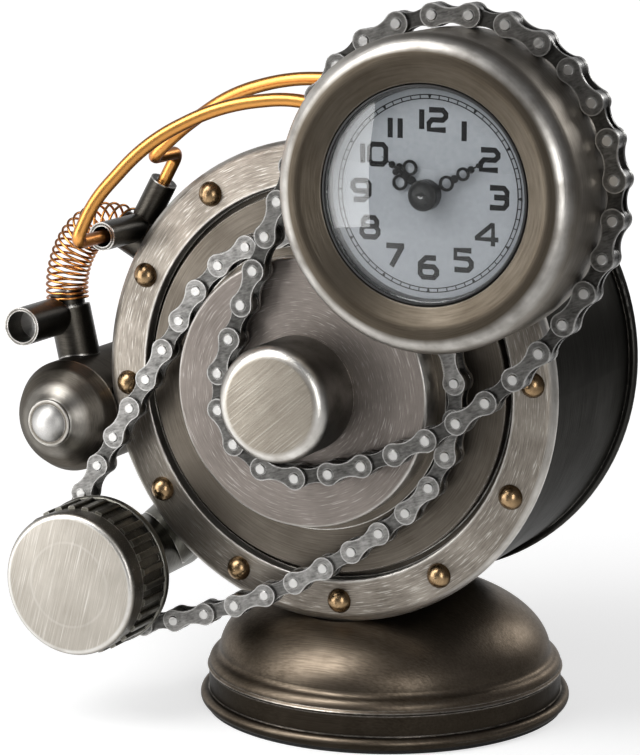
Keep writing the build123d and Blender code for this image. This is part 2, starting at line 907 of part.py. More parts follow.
def neck_screws():
    """The screws inside the can that hold it to the neck."""
    length = back_plate_wall + neck_front_wall
    one = screw(neck_screw_radius, neck_screw_head_radius, neck_screw_head_height, length)
    return Compound(children=[place * Pos(0, back_plate_y, 0) * one for place in neck_screw_places()])


def head_neck():
    """The closed tube behind the head, notched over the flange and along the drum's wall."""
    inner = neck_radius - neck_wall
    front = head_rear_y + neck_front_wall
    back = neck_rear_y - neck_wall
    skin = spun(
        [(0, head_rear_y), (neck_radius, head_rear_y), (neck_radius, neck_rear_y), (0, neck_rear_y)],
        [0, 0, neck_edge_round, 0],
        head_x,
        head_z,
    )
    hollow = rod(inner, front, back, head_x, head_z)
    neck = skin - hollow - drum_envelope(0)
    for place in neck_screw_places():
        neck -= place * rod(neck_screw_radius + shaft_gap, head_rear_y, front, 0, 0)
    for route in (front_wire_route(), top_wire_route()):
        neck -= bar(wire_radius + shaft_gap, route[-2], route[-1])
    return neck


# Clock insert
def insert_cup():
    """The cup that is pressed into the head; its floor carries the dial and the movement."""
    inner = cup_radius - insert_cup_wall
    bore = bush_radius + seat_gap
    corners = [
        (cup_radius, ring_back_y),
        (cup_radius, case_front_y),
        (bore, case_front_y),
        (bore, cup_floor_y),
        (inner, cup_floor_y),
        (inner, ring_back_y),
    ]
    return spun(corners, [0] * len(corners), head_x, head_z)


def insert_gasket():
    """The rubber band round the cup that grips the collar."""
    corners = [
        (cup_radius, ring_back_y),
        (insert_radius, ring_back_y),
        (insert_radius, ring_back_y + gasket_width),
        (cup_radius, ring_back_y + gasket_width),
    ]
    return spun(corners, [0, gasket_thickness / 2, gasket_thickness / 2, 0], head_x, head_z)


def lens():
    """The domed clear lens."""
    sphere = (lens_radius**2 + lens_rise**2) / (2 * lens_rise)
    half_turn = math.asin(lens_radius / sphere) / 2
    mid_x = sphere * math.sin(half_turn)
    drop = sphere * (1 - math.cos(half_turn))
    shift = lens_thickness
    front = ThreePointArc((0, lens_front_y), (mid_x, lens_front_y + drop), (lens_radius, lens_rim_y))
    edge = Line((lens_radius, lens_rim_y), (lens_radius, lens_rim_y + shift))
    back = ThreePointArc(
        (lens_radius, lens_rim_y + shift),
        (mid_x, lens_front_y + drop + shift),
        (0, lens_front_y + shift),
    )
    axis = Line((0, lens_front_y + shift), (0, lens_front_y))
    return Pos(head_x, 0, head_z) * revolve(make_face([front, edge, back, axis]), axis=Axis.Y)


def lens_ring():
    """The black ring round the lens."""
    front = ring_back_y - lens_ring_depth
    corners = [
        (lens_radius + shaft_gap, front),
        (insert_radius, front),
        (insert_radius, ring_back_y),
        (lens_radius + shaft_gap, ring_back_y),
    ]
    return spun(corners, [0, lens_ring_width / 2, 0, 0], head_x, head_z)


def dial():
    """The round dial plate."""
    corners = [
        (bush_radius + seat_gap, dial_front_y),
        (dial_radius, dial_front_y),
        (dial_radius, cup_floor_y),
        (bush_radius + seat_gap, cup_floor_y),
    ]
    return spun(corners, [0] * len(corners), head_x, head_z)


def hand_outline(length, boss, stem, rings, beads, bore):
    """A pointed stem along +Z with open rings, small beads and a hole in its boss. Rings and beads
    are (along, aside, radius) as shares of the length."""
    blade = make_face(Polyline((-stem / 2, 0), (0, length), (stem / 2, 0), close=True)) + Circle(boss)
    for along, aside, radius in (*rings, *beads):
        blade += Pos(length * aside, length * along) * Circle(length * radius)
    for along, aside, radius in rings:
        blade -= Pos(length * aside, length * along) * Circle(length * radius - hand_ring_wall)
    return blade - Circle(bore)


def hand(outline, y, turn):
    """A hand at its place over the dial, turned clockwise from twelve."""
    blade = extrude(Plane.XZ * outline, hand_thickness)
    return Pos(head_x, y, head_z) * Rot(0, turn, 0) * blade


def hour_hand():
    """The hour hand, pressed on the hour pipe."""
    outline = hand_outline(
        hour_hand_length, hour_boss_radius, hour_stem_width, hour_ring_shares, hour_bead_shares, pipe_radius
    )
    return hand(outline, hour_hand_y + hand_thickness, hour_turn())


def minute_hand():
    """The minute hand, pressed on the centre arbor."""
    outline = hand_outline(
        minute_hand_length,
        minute_boss_radius,
        minute_stem_width,
        minute_ring_shares,
        minute_bead_shares,
        arbor_radius,
    )
    return hand(outline, minute_hand_y + hand_thickness, minute_turn())


def minute_turn():
    """The minute hand's angle at rest, clockwise from twelve."""
    return minute_shown * 360 / 60


def hour_turn():
    """The hour hand's angle at rest, clockwise from twelve."""
    return (hour_shown + minute_shown / 60) * 360 / 12


def hand_cap():
    """The black cap on the end of the arbor."""
    front = minute_hand_y - hand_cap_height
    corners = [
        (0, front),
        (hand_cap_radius, front),
        (hand_cap_radius, minute_hand_y),
        (0, minute_hand_y),
    ]
    return spun(corners, [0, hand_cap_round, 0, 0], head_x, head_z)


# Movement
def gear(teeth, module, thickness, y, x, z, tooth_at):
    """A spur wheel along Y at (x, z), with the middle of a tooth at an angle from +X towards +Z."""
    pitch_radius = module * teeth / 2
    tip = pitch_radius + addendum_share * module
    root = pitch_radius - dedendum_share * module
    step = 2 * math.pi / teeth
    corners = []
    for index in range(teeth):
        middle = math.radians(tooth_at) + index * step
        flank = (
            (root, -tooth_root_share),
            (pitch_radius, -tooth_thickness_share),
            (tip, -tooth_tip_share),
            (tip, tooth_tip_share),
            (pitch_radius, tooth_thickness_share),
            (root, tooth_root_share),
        )
        for radius, share in flank:
            angle = middle + share * step / 2
            corners.append((radius * math.cos(angle), radius * math.sin(angle)))
    blank = extrude(Plane.XZ * make_face(Polyline(*corners, close=True)), -thickness)
    return Pos(x, y, z) * blank


def minute_module():
    """The tooth module of the pinion and wheel that the minute arbor drives."""
    return 2 * train_distance / (cannon_teeth + minute_wheel_teeth)


def hour_module():
    """The tooth module of the pinion and wheel that drive the hour pipe."""
    return 2 * train_distance / (minute_pinion_teeth + hour_wheel_teeth)


def half_tooth(teeth):
    """Half of one tooth step in degrees."""
    return 180 / teeth


def cannon_pinion():
    """The centre arbor with the pinion that drives the minute wheel."""
    overlap = pinion_overlap
    thickness = wheel_thickness + 2 * overlap
    start = minute_plane_y - overlap
    pinion = gear(cannon_teeth, minute_module(), thickness, start, head_x, head_z, mesh_below)
    shaft = rod(arbor_radius, minute_hand_y, cover_back_y, head_x, head_z)
    return pinion + shaft


def hour_wheel():
    """The hour wheel with its pipe, which runs in the case's bush and carries the hour hand."""
    tooth_at = mesh_below + half_tooth(hour_wheel_teeth)
    wheel = gear(hour_wheel_teeth, hour_module(), wheel_thickness, hour_plane_y, head_x, head_z, tooth_at)
    pipe = rod(pipe_radius, hour_hand_y, hour_plane_y + wheel_thickness, head_x, head_z)
    bore = rod(arbor_radius + shaft_gap, hour_hand_y - overrun, case_back_y, head_x, head_z)
    return wheel + pipe - bore


def minute_wheel():
    """The wheel and pinion between the centre arbor and the hour wheel, on the setting arbor."""
    overlap = pinion_overlap
    tooth_at = mesh_above + half_tooth(minute_wheel_teeth)
    wheel = gear(
        minute_wheel_teeth, minute_module(), wheel_thickness, minute_plane_y, head_x, wheel_arbor_z, tooth_at
    )
    pinion = gear(
        minute_pinion_teeth,
        hour_module(),
        wheel_thickness + 2 * overlap,
        hour_plane_y - overlap,
        head_x,
        wheel_arbor_z,
        mesh_above,
    )
    start = case_inner_y - wheel_pivot_depth + shaft_gap
    end = cover_back_y + set_knob_gap + set_knob_length / 2
    shaft = rod(wheel_arbor_radius, start, end, head_x, wheel_arbor_z)
    return wheel + pinion + shaft


def set_knob():
    """The fluted knob behind the movement that sets the hands."""
    start = cover_back_y + set_knob_gap
    knob = rod(set_knob_radius, start, start + set_knob_length, head_x, wheel_arbor_z)
    for index in range(set_knob_flutes):
        turn = 2 * math.pi * index / set_knob_flutes
        x = head_x + set_knob_radius * math.cos(turn)
        z = wheel_arbor_z + set_knob_radius * math.sin(turn)
        knob -= rod(set_knob_flute_radius, start - overrun, start + set_knob_length + overrun, x, z)
    return knob - rod(wheel_arbor_radius, start - overrun, start + set_knob_length / 2, head_x, wheel_arbor_z)


def movement_case():
    """The movement's round cup, with the bush that stands through the cup's floor and the dial."""
    bore = pipe_radius + shaft_gap
    inner = case_radius - case_wall
    bush_end = dial_front_y - bush_proud
    corners = [
        (bore, bush_end),
        (bush_radius, bush_end),
        (bush_radius, case_front_y),
        (case_radius, case_front_y),
        (case_radius, case_back_y),
        (inner, case_back_y),
        (inner, case_inner_y),
        (bore, case_inner_y),
    ]
    case = spun(corners, [0] * len(corners), head_x, head_z)
    pivot = rod(
        wheel_arbor_radius + shaft_gap, case_inner_y - wheel_pivot_depth, case_back_y, head_x, wheel_arbor_z
    )
    return case - pivot


def movement_cover():
    """The plate behind the movement, with bearing holes for the two arbors."""
    plate = rod(case_radius, case_back_y, cover_back_y, head_x, head_z)
    start = case_back_y - overrun
    end = cover_back_y + overrun
    plate -= rod(arbor_radius + shaft_gap, start, end, head_x, head_z)
    return plate - rod(wheel_arbor_radius + shaft_gap, start, end, head_x, wheel_arbor_z)


def battery():
    """The button cell on the cover."""
    return rod(cell_radius, case_back_y - cell_height, case_back_y, head_x + cell_x, head_z + cell_z)


def circuit_board():
    """The small board on the cover."""
    blank = Plane.XZ * Rectangle(board_width, board_height)
    return Pos(head_x + board_x, case_back_y, head_z + board_z) * extrude(blank, board_thickness)


def drive_coil():
    """The coil of the stepping motor, lying on the board."""
    y = case_back_y - board_thickness - coil_radius
    x = head_x + board_x
    z = head_z + board_z
    return bar(coil_radius, (x - coil_length / 2, y, z), (x + coil_length / 2, y, z))


# Ribbed knob
def idler_face():
    """The smooth brushed cap on the knob's front."""
    inner = idler_face_radius - idler_face_wall
    floor_y = idler_face_y + idler_face_wall
    corners = [
        (0, idler_face_y),
        (idler_face_radius, idler_face_y),
        (idler_face_radius, idler_drum_y),
        (inner, idler_drum_y),
        (inner, floor_y),
        (0, floor_y),
    ]
    return spun(corners, [0, idler_face_round, 0, 0, 0, 0], idler_x, idler_z)


def ribbed_knob():
    """The ribbed drum behind the cap, with a rim at its back."""
    rim_y = idler_back_y - idler_rim_width
    corners = [
        (0, idler_drum_y),
        (idler_drum_radius, idler_drum_y),
        (idler_drum_radius, rim_y),
        (idler_rim_radius, rim_y),
        (idler_rim_radius, idler_back_y),
        (0, idler_back_y),
    ]
    body = spun(corners, [0, 0, 0, idler_rim_width / 3, idler_rim_width / 3, 0], 0, 0)
    length = rim_y - idler_drum_y
    height = rib_height + rib_sink
    blank = Box(height, length, rib_width)
    edges = blank.edges().filter_by(Axis.Y).group_by(Axis.X)[-1]
    rib = fillet(edges, rib_height / 2)
    middle = idler_drum_radius - rib_sink + height / 2
    ribs = []
    for index in range(rib_count):
        turn = Rot(0, index * 360 / rib_count, 0)
        ribs.append(turn * Pos(middle, idler_drum_y + length / 2, 0) * rib)
    return Pos(idler_x, 0, idler_z) * (body + ribs)


def idler_pulley():
    """The small wheel behind the knob that the lower chain wraps."""
    corners = [
        (0, idler_back_y),
        (idler_boss_radius, idler_back_y),
        (idler_boss_radius, pulley_front_y),
        (idler_pulley_radius, pulley_front_y),
        (idler_pulley_radius, pulley_back_y),
        (0, pulley_back_y),
    ]
    return spun(corners, [0] * len(corners), idler_x, idler_z)


def idler_spindle():
    """The closed tube behind the small wheel."""
    inner = spindle_radius - spindle_wall
    end = arm_y + arm_radius + spindle_wall
    corners = [
        (0, pulley_back_y),
        (spindle_radius, pulley_back_y),
        (spindle_radius, end),
        (0, end),
        (0, end - spindle_wall),
        (inner, end - spindle_wall),
        (inner, pulley_back_y + spindle_wall),
        (0, pulley_back_y + spindle_wall),
    ]
    return spun(corners, [0, 0, spindle_wall / 2, 0, 0, 0, 0, 0], idler_x, idler_z)


def idler_arm():
    """The tube from the drum's wall to the spindle, shaped to both."""
    start = (0, arm_y, drum_axis_height)
    end = (idler_x, arm_y, idler_z)
    tube = bar(arm_radius, start, end) - bar(arm_radius - arm_wall, start, end)
    tube -= rod(spindle_radius + seat_gap, front_y, rear_y, idler_x, idler_z)
    return tube - drum_envelope(seat_gap)


# Bell-shaped can
def bell_can():
    """The can beside the drum, closed at the back and notched for the flange."""
    inner = bell_radius - bell_wall
    end = bell_rim_y + bell_length
    corners = [
        (bell_radius, bell_rim_y),
        (bell_radius, end),
        (0, end),
        (0, end - bell_wall),
        (inner, end - bell_wall),
        (inner, bell_rim_y),
    ]
    return spun(corners, [0, bell_wall, 0, 0, 0, 0], bell_x, bell_z) - drum_envelope(seat_gap)


def bell_front():
    """The spun bell on the can's front, with a ring that seats the boss."""
    tip_y = bell_rim_y - bell_nose
    ring_y = tip_y + bell_ring_height
    radii = [bell_radius * share for share in bell_curve_radius_shares]
    depths = [bell_rim_y - (bell_nose - bell_ring_height) * share for share in bell_curve_depth_shares]
    curve = list(zip(radii, depths))
    inner_curve = [(radius - bell_wall, depth + bell_wall) for radius, depth in curve]
    inner_ring = bell_ring_radius - bell_wall
    corners = [(bell_radius, bell_rim_y), *curve, (bell_ring_radius, ring_y), (bell_ring_radius, tip_y)]
    corners += [(0, tip_y), (0, ring_y + bell_wall), (inner_ring, ring_y + bell_wall)]
    corners += [*reversed(inner_curve), (bell_radius - bell_wall, bell_rim_y)]
    big = bell_radius / 2
    rounds = [0, big / 2, big, big, 0, bell_edge_round, 0, 0, 0, 0, 0, 0, 0]
    return spun(corners, rounds, bell_x, bell_z)


def bell_boss():
    """The domed boss on the bell's nose."""
    tip_y = bell_rim_y - bell_nose
    sphere = (bell_boss_radius**2 + bell_boss_height**2) / (2 * bell_boss_height)
    half_turn = math.asin(bell_boss_radius / sphere) / 2
    crown_y = tip_y - bell_boss_height
    mid = (sphere * math.sin(half_turn), crown_y + sphere * (1 - math.cos(half_turn)))
    dome = ThreePointArc((0, crown_y), mid, (bell_boss_radius, tip_y))
    rest = Polyline((bell_boss_radius, tip_y), (0, tip_y), (0, crown_y))
    return Pos(bell_x, 0, bell_z) * revolve(make_face([dome, rest]), axis=Axis.Y)


# Tubes on the left
def lower_tube_way():
    """The direction of the lower tube, away from the bell can's axis."""
    lean = math.radians(lower_tube_lean)
    return Vector(-math.sin(lean), 0, math.cos(lean))


def lower_tube_end():
    """The middle of the lower tube's end face, where the spring starts."""
    return Vector(bell_x, fitting_y, bell_z) + lower_tube_way() * (bell_radius + lower_tube_reach)


def upper_tube_way():
    """The direction of the upper tube, away from the drum's axis."""
    turn = math.radians(upper_tube_angle)
    return Vector(math.cos(turn), 0, math.sin(turn))


def upper_tube_point(distance):
    """A point on the upper tube's axis, a distance outside the drum's wall."""
    return Vector(0, fitting_y, drum_axis_height) + upper_tube_way() * (drum_radius + distance)


def lower_tube():
    """The stub that stands on the bell can, with a peg inside the spring."""
    end = lower_tube_end()
    axis = Vector(bell_x, fitting_y, bell_z)
    tube = bar(lower_tube_radius, axis, end)
    tube += bar(lower_peg_radius, end, end + lower_tube_way() * lower_peg_length)
    return tube - rod(bell_radius + seat_gap, front_y, rear_y, bell_x, bell_z)


def cross_tube_ends():
    """The open end and the inner end of the cross tube's axis."""
    rise = cross_tube_rise + drum_axis_height - bell_z
    x = bell_x - rise * math.tan(math.radians(lower_tube_lean)) - cross_tube_offset
    z = drum_axis_height + cross_tube_rise
    return Vector(x, front_y - cross_tube_reach, z), Vector(x, fitting_y, z)


def cross_tube():
    """The open tube that points forward, shaped to the lower tube."""
    start, end = cross_tube_ends()
    tube = bar(cross_tube_radius, start, end) - bar(cross_tube_bore, start, end)
    axis = Vector(bell_x, fitting_y, bell_z)
    tube -= bar(lower_tube_radius + seat_gap, axis, lower_tube_end())
    return tube - spring_room(lower_tube_end(), lower_tube_way())


def cross_tube_plug():
    """The bright disc inside the cross tube."""
    start, _ = cross_tube_ends()
    near = start + Vector(0, plug_depth, 0)
    return bar(cross_tube_bore - shaft_gap, near, near + Vector(0, plug_thickness, 0))


def upper_tube():
    """The stub on the drum's wall that carries the spring's other end and both wire sockets."""
    end = upper_tube_point(upper_tube_reach)
    tube = bar(upper_tube_radius, upper_tube_point(-drum_wall), end)
    tube += bar(upper_peg_radius, end, end + upper_tube_way() * upper_peg_length)
    return tube - drum_envelope(seat_gap)


def spring_room(start, way):
    """The room that a tube beside the spring leaves for the spring's first turns."""
    return bar(spring_radius + spring_wire / 2 + slide_gap, start, start + way * (2 * spring_radius))


def upper_tube_cutter():
    """The room that the sockets leave for the upper tube and the spring."""
    end = upper_tube_point(upper_tube_reach)
    tube = bar(upper_tube_radius + seat_gap, upper_tube_point(-drum_wall), end)
    return tube + spring_room(end, upper_tube_way())


def socket_middle():
    """Where the two sockets' axes meet, beside the upper tube's axis."""
    return upper_tube_point(socket_place) + top_socket_way() * socket_shift


def front_socket():
    """The tube that the front wire comes out of, pointing forward."""
    middle = socket_middle()
    start = Vector(middle.X, front_y - front_socket_reach, middle.Z)
    tube = bar(front_socket_radius, start, middle) - bar(front_socket_bore, start, middle)
    tube -= bar(top_socket_radius + seat_gap, middle, top_socket_end())
    return tube - upper_tube_cutter()


def top_socket_way():
    """The direction of the upper socket, along the drum's rim."""
    return Vector(upper_tube_way().Z, 0, -upper_tube_way().X)


def top_socket_end():
    """The middle of the upper socket's open end."""
    return socket_middle() + top_socket_way() * top_socket_reach


def top_socket():
    """The tube that the rear wire comes out of, lying along the drum's rim."""
    middle = socket_middle()
    end = top_socket_end()
    tube = bar(top_socket_radius, middle, end) - bar(wire_radius + shaft_gap, middle, end)
    return tube - upper_tube_cutter()


# Copper wires
def neck_entry(last, y):
    """The end of a wire that runs from a point straight at the neck's axis and through its wall."""
    axis = Vector(head_x, y, head_z)
    way = (axis - Vector(last.X, y, last.Z)).normalized()
    return axis - way * (neck_radius - wire_end_depth)


def arch(start, target, rise, shares):
    """Points of a wire that rises from its start and crosses to a target: shares of the way
    across, of the rise and of the way back."""
    run = target - start
    return [start + Vector(run.X * across, run.Y * back, rise * up) for across, up, back in shares]


def front_wire_route():
    """The corners of the front wire, from its socket to the neck."""
    middle = socket_middle()
    tube_front = math.sqrt(upper_tube_radius**2 - max(socket_shift - wire_radius, 0) ** 2)
    start = middle - Vector(0, tube_front + slide_gap, 0)
    corner = Vector(middle.X, front_y - front_socket_reach - front_wire_overhang, middle.Z)
    neck_y = front_y - front_wire_neck_depth
    points = arch(corner, Vector(head_x, neck_y, head_z), front_wire_rise, front_wire_shares)
    return [start, corner, *points, neck_entry(points[-1], neck_y)]


def top_wire_route():
    """The corners of the rear wire, from its socket to the neck."""
    middle = socket_middle()
    start = middle + top_socket_way() * (upper_tube_radius - socket_shift + slide_gap)
    corner = middle + top_socket_way() * (top_socket_reach + top_wire_overhang)
    jog = corner - Vector(0, top_wire_jog, 0)
    neck_y = front_y - top_wire_neck_depth
    points = arch(jog, Vector(head_x, neck_y, head_z), top_wire_rise, top_wire_shares)
    return [start, corner, jog, *points, neck_entry(points[-1], neck_y)]


def bent_wire(route, tight_corners):
    """A copper wire along a route: tight bends at its first corners, then bends as wide as fit."""
    radii = []
    for index in range(1, len(route) - 1):
        before = route[index] - route[index - 1]
        after = route[index + 1] - route[index]
        turn = math.radians(before.get_angle(after))
        widest = wire_fillet_share * min(before.length, after.length) / math.tan(turn / 2)
        radii.append(min(widest, wire_tight_bend) if index <= tight_corners else widest)
    path = FilletPolyline(*route, radius=radii)
    section = Plane(origin=route[0], z_dir=route[1] - route[0]) * Circle(wire_radius)
    wire = sweep(section, path=path)
    expected = math.pi * wire_radius**2 * path.length
    print("wire radii", [round(radius, 1) for radius in radii])
    print("wire volume over section times length", round(wire.volume / expected, 4))
    return wire


# Copper spring
def spring_axis():
    """The two arcs of the spring's middle line, as (centre, radius, first angle, turn)."""
    start = lower_tube_end()
    end = upper_tube_point(upper_tube_reach)
    way_in = lower_tube_way()
    way_out = -upper_tube_way()
    span = end - start
    both = way_in + way_out
    a = both.dot(both) - 4
    b = -2 * span.dot(both)
    c = span.dot(span)
    arm = (-b - math.sqrt(b * b - 4 * a * c)) / (2 * a)
    near = start + way_in * arm
    far = end - way_out * arm
    joint = (near + far) * (1 / 2)
    middle_way = (far - near).normalized()
    arcs = []
    for point, way, next_way in ((start, way_in, middle_way), (joint, middle_way, way_out)):
        turn = math.radians(way.get_angle(next_way))
        radius = arm / math.tan(turn / 2)
        right = Vector(way.Z, 0, -way.X)
        centre = point + right * radius
        first = math.atan2(point.Z - centre.Z, point.X - centre.X)
        arcs.append((centre, radius, first, turn))
    return arcs


def spring_point(arcs, along, angle):
    """A point of the coil: a distance along the middle line and an angle round it."""
    centre, radius, first, turn = arcs[0]
    if along > radius * turn:
        along -= radius * turn
        centre, radius, first, turn = arcs[1]
    here = first - along / radius
    outward = Vector(math.cos(here), 0, math.sin(here))
    middle = centre + outward * radius
    return middle + (outward * math.cos(angle) + Vector(0, math.sin(angle), 0)) * spring_radius


def two_arcs(start, way_in, end, way_out):
    """Two arcs that leave one point and reach another along given directions."""
    span = end - start
    both = way_in + way_out
    a = both.dot(both) - 4
    b = -2 * span.dot(both)
    c = span.dot(span)
    arm = (-b - math.sqrt(b * b - 4 * a * c)) / (2 * a)
    near = start + way_in * arm
    far = end - way_out * arm
    joint = (near + far) * (1 / 2)
    middle_way = (far - near).normalized()
    first = Edge.make_tangent_arc(start, way_in, joint)
    return [first, Edge.make_tangent_arc(joint, middle_way, end)]


def coil_place(arcs, share):
    """A point of the coil and its direction, at a share of the turns."""
    length = sum(radius * turn for _, radius, _, turn in arcs)
    stub = spring_wire + spring_bend
    coiled = length - 2 * stub
    first = spring_start_pitch_share

    def point(at):
        along = stub + coiled * (first * at + (1 - first) * at * at)
        return spring_point(arcs, along, 2 * math.pi * spring_turns * at)

    step = 1e-5 / spring_turns
    way = (point(share + step) - point(share - step)).normalized()
    return point(share), way


def spring_gap(path, count):
    """The least gap of the coil to itself, measured on points at least half a turn apart."""
    points = [path.position_at(index / count) for index in range(count + 1)]
    apart = int(count / spring_turns / 2)
    least = spring_radius
    for index, here in enumerate(points):
        for there in points[index + apart : index + 4 * apart]:
            least = min(least, (there - here).length)
    return least - spring_wire


def copper_spring():
    """The open-wound spring between the two stubs, one unbroken wire."""
    arcs = spring_axis()
    way_in = lower_tube_way()
    way_out = -upper_tube_way()
    half_turns = 2 * spring_turns
    places = [coil_place(arcs, index / half_turns) for index in range(half_turns + 1)]
    edges = []
    first, first_way = places[0]
    bend_end = first - first_way * spring_bend
    bend_start = bend_end - way_in * spring_bend - first_way * spring_bend
    foot = bend_start - way_in * spring_wire
    edges.append(Edge.make_line(foot, bend_start))
    edges += two_arcs(bend_start, way_in, first, first_way)
    for (start, start_way), (end, end_way) in zip(places, places[1:]):
        edges += two_arcs(start, start_way, end, end_way)
    last, last_way = places[-1]
    turn_end = last + last_way * (2 * spring_bend) + way_out * spring_bend
    edges += two_arcs(last, last_way, turn_end, way_out)
    edges.append(Edge.make_line(turn_end, turn_end + way_out * spring_wire))
    path = Wire(edges)
    section = Plane(origin=foot, z_dir=way_in) * Circle(spring_wire / 2)
    coil = sweep(section, path=path)
    tightest = min(edge.radius for edge in edges if edge.geom_type == GeomType.CIRCLE)
    samples = 48 * spring_turns
    print("spring least gap", round(spring_gap(path, samples), 3), "tightest arc", round(tightest, 2))
    expected = math.pi * (spring_wire / 2) ** 2 * path.length
    print("spring volume over section times length", round(coil.volume / expected, 4))
    return coil


def main():
    """Write every piece."""
    os.makedirs("parts", exist_ok=True)
    head_wheel = (head_x, head_z, head_wrap_radius)
    knob_wheel = (0, drum_axis_height, knob_wrap_radius)
    pulley_wheel = (0, drum_axis_height, pulley_wrap_radius)
    idler_wheel = (idler_x, idler_z, idler_wrap_radius)
    head_chain = chain(head_wheel, knob_wheel, upper_chain_y, head_chain_first_share)
    drum_chain = chain(pulley_wheel, idler_wheel, lower_chain_y, drum_chain_first_share)
    pieces = {
        "foot_shell": foot_shell(),
        "foot_pad": foot_pad(),
        "foot_plate": foot_plate(),
        "foot_stud": foot_stud(),
        "foot_nut": foot_nut(),
        "drum_shell": drum_shell(),
        "rear_cover": rear_cover(),
        "cover_screws": cover_screws(),
        "front_flange": front_flange(),
        "flange_rivets": flange_rivets(),
        "recess_plate": recess_plate(),
        "chain_pulley": chain_pulley(),
        "centre_disc": centre_disc(),
        "centre_knob": centre_knob(),
        "centre_bolt": centre_bolt(),
        "head_can": head_can(),
        "head_back_plate": head_back_plate(),
        "head_neck": head_neck(),
        "neck_screws": neck_screws(),
        "head_chain_outer_links": head_chain[0],
        "head_chain_inner_links": head_chain[1],
        "head_chain_rollers": head_chain[2],
        "drum_chain_outer_links": drum_chain[0],
        "drum_chain_inner_links": drum_chain[1],
        "drum_chain_rollers": drum_chain[2],
        "idler_face": idler_face(),
        "ribbed_knob": ribbed_knob(),
        "idler_pulley": idler_pulley(),
        "idler_spindle": idler_spindle(),
        "idler_arm": idler_arm(),
        "bell_can": bell_can(),
        "bell_front": bell_front(),
        "bell_boss": bell_boss(),
        "lower_tube": lower_tube(),
        "cross_tube": cross_tube(),
        "cross_tube_plug": cross_tube_plug(),
        "upper_tube": upper_tube(),
        "front_socket": front_socket(),
        "top_socket": top_socket(),
        "copper_wire_front": bent_wire(front_wire_route(), 1),
        "copper_wire_rear": bent_wire(top_wire_route(), 2),
        "copper_spring": copper_spring(),
        "insert_cup": insert_cup(),
        "insert_gasket": insert_gasket(),
        "lens": lens(),
        "lens_ring": lens_ring(),
        "dial": dial(),
        "hour_hand": hour_hand(),
        "minute_hand": minute_hand(),
        "hand_cap": hand_cap(),
        "movement_case": movement_case(),
        "movement_cover": movement_cover(),
        "cannon_pinion": cannon_pinion(),
        "hour_wheel": hour_wheel(),
        "minute_wheel": minute_wheel(),
        "set_knob": set_knob(),
        "battery": battery(),
        "circuit_board": circuit_board(),
        "drive_coil": drive_coil(),
    }
    for name, solid in pieces.items():
        closed(name, solid)


main()
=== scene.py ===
# %% [markdown]
# A table clock in the shape of an old machine.
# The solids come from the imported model: a drum on a domed foot, a round head with the dial,
# two roller chains, a ribbed knob, a bell-shaped can, a copper spring and bent copper wires.
# This lesson gives them their finishes, prints the dial and sets up a small photo studio.

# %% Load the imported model
import math

import bpy
from mathutils import Matrix, Vector


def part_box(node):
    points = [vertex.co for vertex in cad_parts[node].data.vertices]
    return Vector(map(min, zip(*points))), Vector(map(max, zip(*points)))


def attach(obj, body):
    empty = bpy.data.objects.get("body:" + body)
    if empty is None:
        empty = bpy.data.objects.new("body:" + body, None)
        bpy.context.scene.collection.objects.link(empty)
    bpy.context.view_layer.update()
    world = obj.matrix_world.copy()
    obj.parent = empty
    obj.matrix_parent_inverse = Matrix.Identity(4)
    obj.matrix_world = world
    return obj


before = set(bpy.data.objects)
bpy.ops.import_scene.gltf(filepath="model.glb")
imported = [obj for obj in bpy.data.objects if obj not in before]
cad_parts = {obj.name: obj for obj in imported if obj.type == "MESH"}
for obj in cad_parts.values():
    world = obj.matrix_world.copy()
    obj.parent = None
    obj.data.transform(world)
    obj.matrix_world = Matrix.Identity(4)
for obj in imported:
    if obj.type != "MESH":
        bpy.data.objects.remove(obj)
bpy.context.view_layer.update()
bpy.ops.object.select_all(action="DESELECT")

# %% [markdown]
# The camera stands a metre away, 25 degrees round to the right and 11 degrees up. A long lens
# keeps the perspective weak, as in a product photograph.

# %% Camera
camera_turn = math.radians(25.03)
camera_lift = math.radians(11.03)
camera_distance = 0.99533
camera_target = Vector((-0.00625, -0.042, 0.12506))
camera_back = Vector(
    (
        math.sin(camera_turn) * math.cos(camera_lift),
        -math.cos(camera_turn) * math.cos(camera_lift),
        math.sin(camera_lift),
    )
)
bpy.ops.object.camera_add(location=camera_target + camera_back * camera_distance)
camera = bpy.context.object
camera.rotation_euler = (-camera_back).to_track_quat("-Z", "Y").to_euler()
camera.data.sensor_width = 36
camera.data.lens = 138.72
camera.data.clip_start = 0.01
bpy.context.scene.camera = camera
print("camera at", [round(v, 3) for v in camera.location])

# %% [markdown]
# Nodes are added and linked many times below, so a few short helpers come first. Most of them
# add a single node and return the socket that the next node needs.


# %% Node helpers
def add(tree, kind, **settings):
    """Add a node to a tree and set its properties."""
    node = tree.nodes.new(kind)
    for name, value in settings.items():
        setattr(node, name, value)
    return node


def join(tree, source, target):
    """Link an output socket to an input socket."""
    tree.links.new(source, target)


def feed(tree, socket, value):
    """Give an input a number, a colour or a link."""
    if isinstance(value, (int, float)):
        socket.default_value = value
    elif isinstance(value, tuple):
        socket.default_value = (*value, 1)
    else:
        join(tree, value, socket)


def sums(tree, operation, *values):
    """A Math node; each input is a socket or a number."""
    node = add(tree, "ShaderNodeMath", operation=operation)
    for socket, value in zip(node.inputs, values):
        feed(tree, socket, value)
    return node.outputs[0]


def blend_colour(tree, amount, first, second):
    """A colour Mix node; each input is a socket, a number or an RGB triple."""
    node = add(tree, "ShaderNodeMix", data_type="RGBA", clamp_factor=True)
    for index, value in ((0, amount), (6, first), (7, second)):
        feed(tree, node.inputs[index], value)
    return node.outputs[2]


